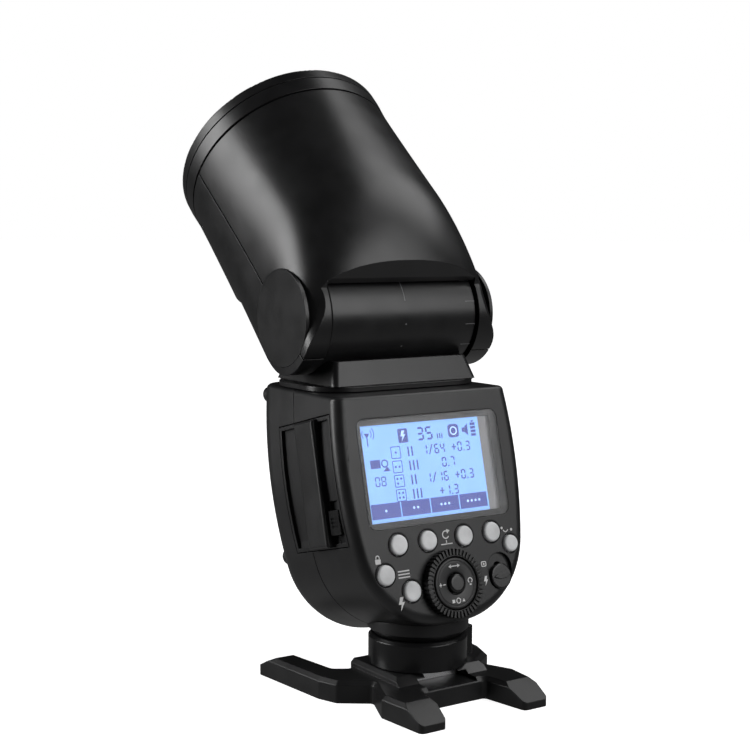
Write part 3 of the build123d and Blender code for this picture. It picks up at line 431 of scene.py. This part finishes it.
pale_crystal = glowing("pale_crystal", (0.20, 0.42, 0.80), 0.72)
dark_crystal = glowing("dark_crystal", (0.012, 0.035, 0.28), 0.6)
light_crystal = glowing("light_crystal", (0.42, 0.62, 0.95), 0.7)
printed("lit_field", display_field, pale_crystal, "lcd_module")
printed("display_figures", display_picture, dark_crystal, "lcd_module")
printed("key_bar_marks", key_bar_marks, light_crystal, "lcd_module")
refinish(moulded_plastic("display_glass_edge", (0.19, 0.19, 0.2), 0.3, 1 * MM, 0.002 * MM), "lcd_module")
refinish(moulded_plastic("mask_print", (0.028, 0.028, 0.03), 0.35, 0.4 * MM, 0.001 * MM), "lcd_mask")
refinish(clear_plastic("display_window", (0.97, 0.98, 1.0), 0.02), "lcd_window")


# ---------------------------------------------------------------- keys
# Light grey silicone keys with domed tops.
# Each stands in its own hole in the rear housing.
key_silicone = moulded_plastic("key_silicone", (0.86, 0.87, 0.88), 0.42, 0.25 * MM, 0.004 * MM)
for key_name in ("softkey_1", "softkey_2", "softkey_3", "softkey_4", "sync_key", "menu_key", "test_key"):
    refinish(key_silicone, key_name)


# ---------------------------------------------------------------- dial
# A wheel with forty-six ribs turns round a rocking pad, with the set button in its middle.
# The wheel is one moulding: its ribs run over the face and down the side.
DIAL_UP = -36.0
RIBS = 46


def on_dial(x, y, out):
    """A point about the dial's axis."""
    return on_panel(x, DIAL_UP + y, out)


def lathe(profile, steps, put):
    """Turned form from a closed profile of (radius, height) points."""
    form = bmesh.new()
    rows = []
    for k in range(steps):
        turn = 2 * pi * k / steps
        rows.append([form.verts.new(put(r * cos(turn), r * sin(turn), z)) for r, z in profile])
    count = len(profile)
    for k in range(steps):
        row, nxt = rows[k], rows[(k + 1) % steps]
        for j in range(count):
            form.faces.new((row[j], nxt[j], nxt[(j + 1) % count], row[(j + 1) % count]))
    bmesh.ops.remove_doubles(form, verts=form.verts, dist=1e-7)
    bmesh.ops.recalc_face_normals(form, faces=form.faces)
    return form


def as_piece(form, name):
    """Turns a built form into an object."""
    mesh = bpy.data.meshes.new(name)
    form.to_mesh(mesh)
    form.free()
    piece = bpy.data.objects.new(name, mesh)
    bpy.context.scene.collection.objects.link(piece)
    return piece


def rib_tree():
    """Geometry Nodes: ribs of one size standing round a circle, pointing outwards."""
    tree = bpy.data.node_groups.new("ribs_round_a_wheel", "GeometryNodeTree")
    face = tree.interface
    face.new_socket("Geometry", in_out="OUTPUT", socket_type="NodeSocketGeometry")
    for label, kind in (("Count", "NodeSocketInt"), ("Wheel radius", "NodeSocketFloat"),
                        ("Rib size", "NodeSocketVector"), ("Finish", "NodeSocketMaterial")):
        face.new_socket(label, in_out="INPUT", socket_type=kind)
    given = tree.nodes.new("NodeGroupInput").outputs
    out = tree.nodes.new("NodeGroupOutput")
    circle = tree.nodes.new("GeometryNodeMeshCircle")
    rib = tree.nodes.new("GeometryNodeMeshCube")
    place = tree.nodes.new("GeometryNodeInstanceOnPoints")
    position = tree.nodes.new("GeometryNodeInputPosition")
    turn = tree.nodes.new("FunctionNodeAlignRotationToVector")
    real = tree.nodes.new("GeometryNodeRealizeInstances")
    paint = tree.nodes.new("GeometryNodeSetMaterial")
    turn.axis = "X"
    turn.pivot_axis = "Z"
    link = tree.links.new
    link(given["Count"], circle.inputs["Vertices"])
    link(given["Wheel radius"], circle.inputs["Radius"])
    link(given["Rib size"], rib.inputs["Size"])
    link(position.outputs[0], turn.inputs["Vector"])
    link(circle.outputs["Mesh"], place.inputs["Points"])
    link(rib.outputs["Mesh"], place.inputs["Instance"])
    link(turn.outputs["Rotation"], place.inputs["Rotation"])
    link(place.outputs["Instances"], real.inputs["Geometry"])
    link(real.outputs["Geometry"], paint.inputs["Geometry"])
    link(given["Finish"], paint.inputs["Material"])
    link(paint.outputs["Geometry"], out.inputs["Geometry"])
    return tree


def grown(tree, name, values, place):
    """The plain mesh that a tree makes with these inputs, put in its place."""
    maker = bpy.data.objects.new(name + "_maker", bpy.data.meshes.new(name + "_maker"))
    bpy.context.scene.collection.objects.link(maker)
    nodes = maker.modifiers.new("make", "NODES")
    nodes.node_group = tree
    for item in tree.interface.items_tree:
        if item.in_out == "INPUT" and item.name in values:
            nodes[item.identifier] = values[item.name]
    bpy.context.view_layer.update()
    mesh = bpy.data.meshes.new_from_object(maker.evaluated_get(bpy.context.evaluated_depsgraph_get()))
    maker.modifiers.clear()
    bpy.data.objects.remove(maker)
    mesh.name = name
    mesh.transform(place)
    return mesh


def frame_at(origin, x_way, z_way):
    """Placement whose X and Z run the given ways."""
    x, z = Vector(x_way).normalized(), Vector(z_way).normalized()
    y = z.cross(x)
    turn = Matrix((x, y, z)).transposed().to_4x4()
    return Matrix.Translation(origin) @ turn


def join_into(form, mesh):
    """Adds a mesh to a form that is being built."""
    form.from_mesh(mesh)
    bpy.data.meshes.remove(mesh)


WHEEL_PROFILE = [(8.25, 0.35), (6.25, 0.35), (6.25, -3.45), (6.95, -3.45), (6.95, 0.35), (10.2, 0.35),
                 (10.3, 0.6), (10.3, 2.1), (10.0, 2.5), (8.75, 2.62), (8.6, 2.95), (8.4, 3.0), (8.25, 2.85)]
PAD_PROFILE = [(3.25, 2.12), (7.85, 2.12), (7.85, 2.75), (7.6, 3.0), (7.1, 3.05), (6.95, 2.92), (6.75, 2.92),
               (6.6, 3.02), (4.2, 2.96), (3.6, 2.85), (3.25, 2.6)]
RIB_SIZE, RIB_R, RIB_OUT = (1.96 * MM, 0.74 * MM, 2.5 * MM), 9.62 * MM, 1.85
wheel = lathe(WHEEL_PROFILE, 96, on_dial)
ribs = grown(rib_tree(), "wheel_ribs", {"Count": RIBS, "Wheel radius": RIB_R, "Rib size": RIB_SIZE,
             "Finish": hard_gloss}, frame_at(on_dial(0, 0, RIB_OUT), (1, 0, 0), PANEL_OUT))
join_into(wheel, ribs)
wheel_plastic = moulded_plastic("wheel_plastic", (0.011, 0.011, 0.0115), 0.4, 0.2 * MM, 0.003 * MM, 0.15 * MM)
settle(as_piece(wheel, "dial_wheel_moulding"), "dial_wheel", wheel_plastic)

pad = lathe(PAD_PROFILE, 72, on_dial)
settle(as_piece(pad, "pad_moulding"), "nav_pad", housing_plastic, radians(24))
refinish(hard_gloss, "set_key")


# ---------------------------------------------------------------- mode switch
# A sliding knob in a sunk track; the knob's face has a leaf-shaped ridge.
SWITCH_X, SWITCH_UP, KNOB_LOW = 19.7, -34.6, 1.55
refinish(hard_gloss, "mode_switch")


def knob_ridge(form):
    """Leaf-shaped ridge across the knob."""
    middle = SWITCH_UP - KNOB_LOW
    half = [(SWITCH_X - 3.1 + 6.2 * k / 16, 0.95 * sin(pi * k / 16)) for k in range(17)]
    points = [(x, middle + y) for x, y in half] + [(x, middle - y) for x, y in half[1:-1][::-1]]
    slab(form, points, 0.45, 0.95, on_panel)


printed("switch_ridge", knob_ridge, hard_gloss, "mode_switch")


# ---------------------------------------------------------------- printed signs
# White pictograms are pad-printed beside the keys and on the pad.
# They are thin closed slabs, a hair proud of the plastic.
PRINT_LOW, PRINT_HIGH = -0.005, 0.025


def panel_signs(form):
    """Padlock, bolt, list, reset, linked flashes, and two small signs by the switch."""
    low, high, put = PRINT_LOW, PRINT_HIGH, on_panel
    slab(form, round_rect(-25.4, -26.2, 2.0, 1.5, 0.2), low, high, put)
    band(form, [(-26.0, -25.4)] + arc(-25.4, -25.0, 0.6, 180, 0, 8) + [(-24.8, -25.4)], 0.3, low, high, put)
    slab(form, [(-19.2, -37.6), (-18.0, -37.6), (-18.6, -39.1), (-17.7, -39.1), (-19.5, -41.8), (-19.0, -39.8),
                (-20.0, -39.8)], low, high, put)
    for k in range(3):
        slab(form, rect(-16.7, -30.0 - k * 0.95, 4.2, 0.42), low, high, put)
    band(form, arc(0.6, -20.9, 1.15, 60, 330, 16), 0.36, low, high, put)
    slab(form, [(1.0, -19.2), (2.3, -19.7), (1.2, -20.7)], low, high, put)
    band(form, [(-1.6, -23.8), (2.8, -23.8)], 0.34, low, high, put)
    band(form, [(0.6, -22.6), (0.6, -23.5)], 0.34, low, high, put)
    band(form, arc(24.0, -21.6, 1.0, 200, 340, 10), 0.34, low, high, put)
    slab(form, ring_points(22.6, -21.3, 0.45, 10), low, high, put)
    slab(form, ring_points(26.3, -22.1, 0.45, 10), low, high, put)
    band(form, round_rect(13.6, -31.6, 1.7, 1.4, 0.3), 0.3, low, high, put, True)
    slab(form, ring_points(13.6, -31.6, 0.35, 10), low, high, put)
    slab(form, [(13.4, -35.4), (14.3, -35.4), (13.9, -36.5), (14.5, -36.5), (13.2, -38.4), (13.5, -37.0),
                (12.8, -37.0)], low, high, put)


def pad_signs(form):
    """Zoom arrows, plus and minus, lamp and mode signs on the pad."""
    low, high = 2.97, 3.03
    for side in (-1, 1):
        slab(form, [(side * 2.2, 5.3), (side * 1.2, 5.9), (side * 1.2, 4.7)], low, high, on_dial)
    band(form, [(-1.3, 5.3), (1.3, 5.3)], 0.34, low, high, on_dial)
    digit(form, "+", -5.9, 0.1, 1.1, 1.1, 0.28, low, high, on_dial)
    slab(form, rect(-4.5, 0.1, 0.9, 0.3), low, high, on_dial)
    band(form, arc(5.3, 0.3, 0.75, -60, 240, 14), 0.28, low, high, on_dial)
    slab(form, rect(5.3, -0.95, 0.7, 0.5), low, high, on_dial)
    band(form, ring_points(0, -5.3, 0.75, 16), 0.3, low, high, on_dial, True)
    slab(form, rect(-1.9, -5.3, 1.0, 1.0), low, high, on_dial)
    slab(form, [(1.4, -5.8), (2.5, -5.8), (1.95, -4.8)], low, high, on_dial)


white_ink = moulded_plastic("white_ink", (0.78, 0.78, 0.78), 0.5, 0.1 * MM, 0.001 * MM, 0)
printed("panel_signs", panel_signs, white_ink, "rear_housing")
printed("pad_signs", pad_signs, white_ink, "nav_pad")


# ---------------------------------------------------------------- swivel and barrel
# The neck turns on the body and carries the cross barrel, in the head's smoother plastic.
# The barrel is marked with a centre line, two dots, and tilt ticks at its right end.
PAN_Y, HINGE_Z = 24.2, 118.65
BARREL_R = 17.0
head_plastic = moulded_plastic("head_plastic", (0.012, 0.012, 0.0126), 0.31, 0.12 * MM, 0.005 * MM, 0.3 * MM)
refinish(head_plastic, "swivel_base")
refinish(head_plastic, "hinge_barrel")


def on_barrel(x, turn, out):
    """A point on the barrel: along it, round it from level in degrees, and out of it."""
    r = BARREL_R + out
    return Vector((x, PAN_Y - r * cos(radians(turn)), HINGE_Z + r * sin(radians(turn)))) * MM


def barrel_marks(form):
    """Centre line, dots and ticks as very low print."""
    low, high = -0.01, 0.03
    for k in range(12):
        slab(form, [(-0.13, 18 + k * 4), (0.13, 18 + k * 4), (0.13, 22 + k * 4), (-0.13, 22 + k * 4)],
             low, high, on_barrel)
    for turn in (-7, -33):
        slab(form, [(0.3 * cos(a * pi / 6), turn + sin(a * pi / 6)) for a in range(12)], low, high, on_barrel)
    for turn in (40, 15, -10, -35):
        slab(form, [(23.6, turn), (27.4, turn), (27.4, turn + 0.8), (23.6, turn + 0.8)], low, high, on_barrel)


faint_ink = moulded_plastic("faint_grey_ink", (0.17, 0.17, 0.175), 0.4, 0.1 * MM, 0.001 * MM, 0)
printed("barrel_marks", barrel_marks, faint_ink, "hinge_barrel")


# ---------------------------------------------------------------- head
# Two smooth shells meet at a seam level with the pivot; round caps close the pivot holes.
# They are lofted in the head's own frame, with Y along the head from the hinge and Z up, and hollowed.
# A pocket for the barrel, recesses for the caps and holes for the shaft are then cut out of them.
HEAD_TILT = 41.5
HEAD_TURN = Matrix.Translation(Vector((0, PAN_Y, HINGE_Z)) * MM) @ Matrix.Rotation(radians(HEAD_TILT), 4, "X")
SHELL_FRONT, SHELL_WALL, HALF_SEAM = 69.5, 2.2, 0.25
SHELL_SHARP = radians(28)
HEAD_STEPS, HOLLOW_STEPS, ROUND_STEPS = 44, 12, 128
REAR_RADIUS, WIDENING = 34.8, 0.04      # of the round body at the hinge, and per millimetre forwards
EAR_R, EAR_X, EAR_GAP_X = 18.0, 36.0, 28.35
SHOULDER_DROP, SHOULDER_Y = 7.6, 30.0
REAR_EDGE = (-3.5, 20.0)                # where the top is cut off over the barrel
POCKET_Y, POCKET_GAP, POCKET_FLOOR = 20.5, 1.4, -16.2
STEP_Y, STEP_Z, STEP_END_Y = 31.5, -17.5, 39.0
HOLLOW_Y = 22.7
CAP_RECESS_R, CAP_RECESS_X, SHAFT_HOLE_R = 15.45, 34.8, 5.05
OUTSIDE, BEYOND = 60, 99                # clear of the head to either side, and past its front


def head_radius(y):
    """Radius of the round body, which widens a little towards the front."""
    return REAR_RADIUS + WIDENING * y


def ease(t):
    """Smooth step from nought to one."""
    t = min(1.0, max(0.0, t))
    return t * t * (3 - 2 * t)


def head_section(y, wall=0.0):
    """One cross-section: round in front, squarer and lower at the ears."""
    rear = min(1.0, max(0.0, 1 - y / SHELL_FRONT)) ** 1.3
    half_wide = head_radius(y) + (EAR_X - head_radius(y)) * ease(rear) - wall
    half_high = head_radius(y) - SHOULDER_DROP * max(0.0, 1 - y / SHOULDER_Y) ** 2 - wall
    flat_side, flat_top = 2 / (2 + 1.4 * rear), 2 / (2 + 0.25 * rear)
    points = []
    for k in range(ROUND_STEPS):
        turn = 2 * pi * (k + 0.5) / ROUND_STEPS
        c, s = cos(turn), sin(turn)
        high = half_high if s > 0 else head_radius(y) - wall
        points.append((half_wide * abs(c) ** flat_top * (1 if c > 0 else -1), y,
                       high * abs(s) ** flat_side * (1 if s > 0 else -1)))
    return points


def loft(sections):
    """Closed tube through sections of equal count, with flat ends."""
    form = bmesh.new()
    rows = [[form.verts.new(p) for p in section] for section in sections]
    for row, nxt in zip(rows, rows[1:]):
        for k in range(len(row)):
            n = (k + 1) % len(row)
            form.faces.new((row[k], nxt[k], nxt[n], row[n]))
    form.faces.new(rows[0])
    form.faces.new(rows[-1][::-1])
    bmesh.ops.recalc_face_normals(form, faces=form.faces)
    return form


def prism_x(outline, x0, x1):
    """Side-view outline of (y, z) points run across between two x."""
    return loft([[(x0, y, z) for y, z in outline], [(x1, y, z) for y, z in outline]])


def round_x(radius, x0, x1, steps=96):
    """Cylinder across the head, about the hinge."""
    turns = [2 * pi * k / steps for k in range(steps)]
    return prism_x([(radius * cos(turn), radius * sin(turn)) for turn in turns], x0, x1)


def cut(piece, form, way="DIFFERENCE"):
    """Cuts a piece with a form, or keeps what they share, and bakes the result into its mesh."""
    tool = as_piece(form, "cutter")
    step = piece.modifiers.new("cut", "BOOLEAN")
    step.operation = way
    step.solver = "EXACT"
    step.object = tool
    bpy.context.view_layer.update()
    mesh = bpy.data.meshes.new_from_object(piece.evaluated_get(bpy.context.evaluated_depsgraph_get()))
    piece.modifiers.clear()
    old, piece.data = piece.data, mesh
    bpy.data.meshes.remove(old)
    bpy.data.objects.remove(tool)
    return piece


def side_outline():
    """Side view of the shells behind the front ring: ear, stepped floor and the cut top edge."""
    ear = [(-EAR_R * sin(radians(a)), -EAR_R * cos(radians(a))) for a in range(0, 168, 3)]
    top = [REAR_EDGE, (-2.0, 26.0), (-2.0, 50), (BEYOND, 50)]
    return ear + top + [(BEYOND, -50), (STEP_END_Y, -50), (STEP_END_Y, -38), (STEP_Y, STEP_Z)]


def hollow_form():
    """The space inside the shells, kept clear of the pocket's wall and of the stepped floor."""
    ys = [HOLLOW_Y + (SHELL_FRONT + 2 - HOLLOW_Y) * k / HOLLOW_STEPS for k in range(HOLLOW_STEPS + 1)]
    space = as_piece(loft([head_section(y, SHELL_WALL) for y in ys]), "hollow")
    kept = [(22, -14), (33.9, -14), (41.4, -38), (41.4, -60), (BEYOND, -60), (BEYOND, 60), (22, 60)]
    cut(space, prism_x(kept, -OUTSIDE, OUTSIDE), "INTERSECT")
    form = bmesh.new()
    form.from_mesh(space.data)
    bpy.data.objects.remove(space)
    return form


def head_shell(name, low, high):
    """One of the two shells, between two heights in the head's frame."""
    back = -EAR_R - 1
    ys = [back + (SHELL_FRONT - back) * k / HEAD_STEPS for k in range(HEAD_STEPS + 1)]
    piece = as_piece(loft([head_section(y) for y in ys]), name)
    cut(piece, prism_x(side_outline(), -OUTSIDE, OUTSIDE), "INTERSECT")
    cut(piece, hollow_form())
    pocket = [(-40, -60), (POCKET_Y, -60), (POCKET_Y, 0), (REAR_EDGE[0], 0), (REAR_EDGE[0], 60), (-40, 60)]
    under = [(19, -60), (STEP_Y, -60), (STEP_Y, POCKET_FLOOR), (19, POCKET_FLOOR)]
    cut(piece, round_x(BARREL_R + POCKET_GAP, -EAR_GAP_X, EAR_GAP_X))
    cut(piece, prism_x(pocket, -EAR_GAP_X, EAR_GAP_X))
    cut(piece, prism_x(under, -EAR_GAP_X, EAR_GAP_X))
    for side in (-1, 1):
        cut(piece, round_x(CAP_RECESS_R, side * CAP_RECESS_X, side * 40))
        cut(piece, round_x(SHAFT_HOLE_R, side * 20, side * 40, 48))
    half = [(-OUTSIDE, low), (BEYOND, low), (BEYOND, high), (-OUTSIDE, high)]
    cut(piece, prism_x(half, -OUTSIDE, OUTSIDE), "INTERSECT")
    piece.data.transform(Matrix.Scale(MM, 4))
    piece.data.transform(HEAD_TURN)
    return piece


shell_plastic = moulded_plastic("head_shell_plastic", (0.012, 0.012, 0.0126), 0.33, 0.12 * MM, 0.004 * MM,
                                0.3 * MM)
top_moulding = head_shell("head_top_moulding", HALF_SEAM, OUTSIDE)
settle(top_moulding, "head_top_shell", shell_plastic, SHELL_SHARP)
bottom_moulding = head_shell("head_bottom_moulding", -OUTSIDE, -HALF_SEAM)
settle(bottom_moulding, "head_bottom_shell", shell_plastic, SHELL_SHARP)
refinish(head_plastic, "pivot_caps")


# ---------------------------------------------------------------- front ring and lens
# A grooved ring carries magnets for round accessories.
# It holds a frosted, ringed lens.
refinish(head_plastic, "front_ring")
refinish(turned_metal("nickel_plate", (0.7, 0.7, 0.72), 0.12), "ring_magnets")
refinish(clear_plastic("lens_plastic", (0.96, 0.97, 0.98), 0.18), "front_lens")


# ---------------------------------------------------------------- inner workings
# Boards, capacitor, flash tube and the zoom carriage with its bright reflector.
# They show through the lens, and where the battery is drawn out.
board_green = moulded_plastic("solder_mask", (0.02, 0.12, 0.05), 0.35, 0.5 * MM, 0.005 * MM)
refinish(board_green, "control_board", "main_board", "head_board", "modelling_led")
refinish(moulded_plastic("capacitor_sleeve", (0.015, 0.02, 0.06), 0.25, 1 * MM, 0.01 * MM), "main_capacitor")
refinish(turned_metal("bright_reflector", (0.9, 0.9, 0.9), 0.1), "reflector")
refinish(clear_plastic("tube_glass", (0.98, 0.98, 0.98), 0.02), "flash_tube")


# ---------------------------------------------------------------- floor, light and camera
# A pale floor, with soft lights at the left and behind, over the right shoulder, and in front.
# The floor glows with painted light, dimmer near the stand and brighter away from it, until it meets the white
# world.
FADE_FROM, FADE_TO = 0.10, 0.45         # metres from the middle
GLOW_NEAR, GLOW_FAR = 0.90, 1.02


def painted_glow_floor_finish():
    """Pale floor with a painted glow, dimmer near the stand and brighter away from it, and a soft contact
    shadow from the lamps.
    """
    finish, tree, shader, coords = new_finish("pale_floor_painted_glow")
    shader.inputs["Base Color"].default_value = (0.8, 0.8, 0.8, 1)
    shader.inputs["Roughness"].default_value = 0.9
    shader.inputs["Emission Color"].default_value = (1, 1, 1, 1)
    far = tree.nodes.new("ShaderNodeVectorMath")
    far.operation = "LENGTH"
    tree.links.new(coords, far.inputs[0])
    fade = tree.nodes.new("ShaderNodeMapRange")
    fade.inputs["From Min"].default_value, fade.inputs["From Max"].default_value = FADE_FROM, FADE_TO
    fade.inputs["To Min"].default_value, fade.inputs["To Max"].default_value = GLOW_NEAR, GLOW_FAR
    tree.links.new(far.outputs["Value"], fade.inputs["Value"])
    # Painted glow: emission strength rises from GLOW_NEAR by the stand to GLOW_FAR further out.
    tree.links.new(fade.outputs["Result"], shader.inputs["Emission Strength"])
    return finish


floor_form = bmesh.new()
bmesh.ops.create_circle(floor_form, cap_ends=True, segments=96, radius=12)
floor = as_piece(floor_form, "floor")
floor.data.materials.append(painted_glow_floor_finish())
floor.visible_glossy = False
floor.visible_diffuse = False

world = bpy.data.worlds.new("studio")
bpy.context.scene.world = world
world.use_nodes = True
air = world.node_tree
# Pieces see a dim world, a little lighter below them; the camera sees a white one.
path = air.nodes.new("ShaderNodeLightPath")
height = air.nodes.new("ShaderNodeSeparateXYZ")
air.links.new(air.nodes.new("ShaderNodeTexCoord").outputs["Generated"], height.inputs["Vector"])
shade = air.nodes.new("ShaderNodeMapRange")
shade.inputs["From Min"].default_value, shade.inputs["From Max"].default_value = -0.8, 0.0
shade.inputs["To Min"].default_value, shade.inputs["To Max"].default_value = 0.30, 0.015
air.links.new(height.outputs["Z"], shade.inputs["Value"])
blend = air.nodes.new("ShaderNodeMix")
blend.data_type = "RGBA"
air.links.new(shade.outputs["Result"], blend.inputs["A"])
blend.inputs["B"].default_value = (1, 1, 1, 1)
air.links.new(path.outputs["Is Camera Ray"], blend.inputs["Factor"])
air.links.new(blend.outputs["Result"], air.nodes["Background"].inputs["Color"])

AIM = Vector((0, 15, 110)) * MM


def soft_box(name, way, distance, size, power):
    """Square soft light that faces the flash from a direction."""
    lamp = bpy.data.lights.new(name, "AREA")
    lamp.shape = "RECTANGLE"
    lamp.size, lamp.size_y = size
    lamp.energy = power
    holder = bpy.data.objects.new(name, lamp)
    bpy.context.scene.collection.objects.link(holder)
    way = Vector(way).normalized()
    holder.location = AIM + way * distance
    holder.rotation_euler = (-way).to_track_quat("-Z", "Y").to_euler()
    return holder


soft_box("left_box", (-0.82, 0.5, 0.27), 0.9, (0.35, 0.7), 6)
soft_box("top_right_box", (0.62, -0.10, 0.76), 1.0, (0.6, 0.6), 3.0)
soft_box("front_fill", (0.35, -0.85, 0.42), 1.3, (0.9, 0.9), 8)

CAMERA_AT = Vector((-267.38, -376.21, 148.34)) * MM
CAMERA_RIGHT = Vector((0.83233, -0.55427, 0.00309))
CAMERA_UP = Vector((0.05407, 0.08673, 0.99476))
camera_data = bpy.data.cameras.new("camera")
camera_data.lens = 71.0
camera_data.sensor_width = 36.0
camera_data.clip_start = 0.01
camera = bpy.data.objects.new("camera", camera_data)
bpy.context.scene.collection.objects.link(camera)
camera_back = CAMERA_RIGHT.cross(CAMERA_UP).normalized()
camera_up = camera_back.cross(CAMERA_RIGHT).normalized()
camera.matrix_world = (Matrix.Translation(CAMERA_AT)
                       @ Matrix((CAMERA_RIGHT.normalized(), camera_up, camera_back)).transposed().to_4x4())
bpy.context.scene.camera = camera
bpy.context.scene.view_settings.view_transform = "Standard"
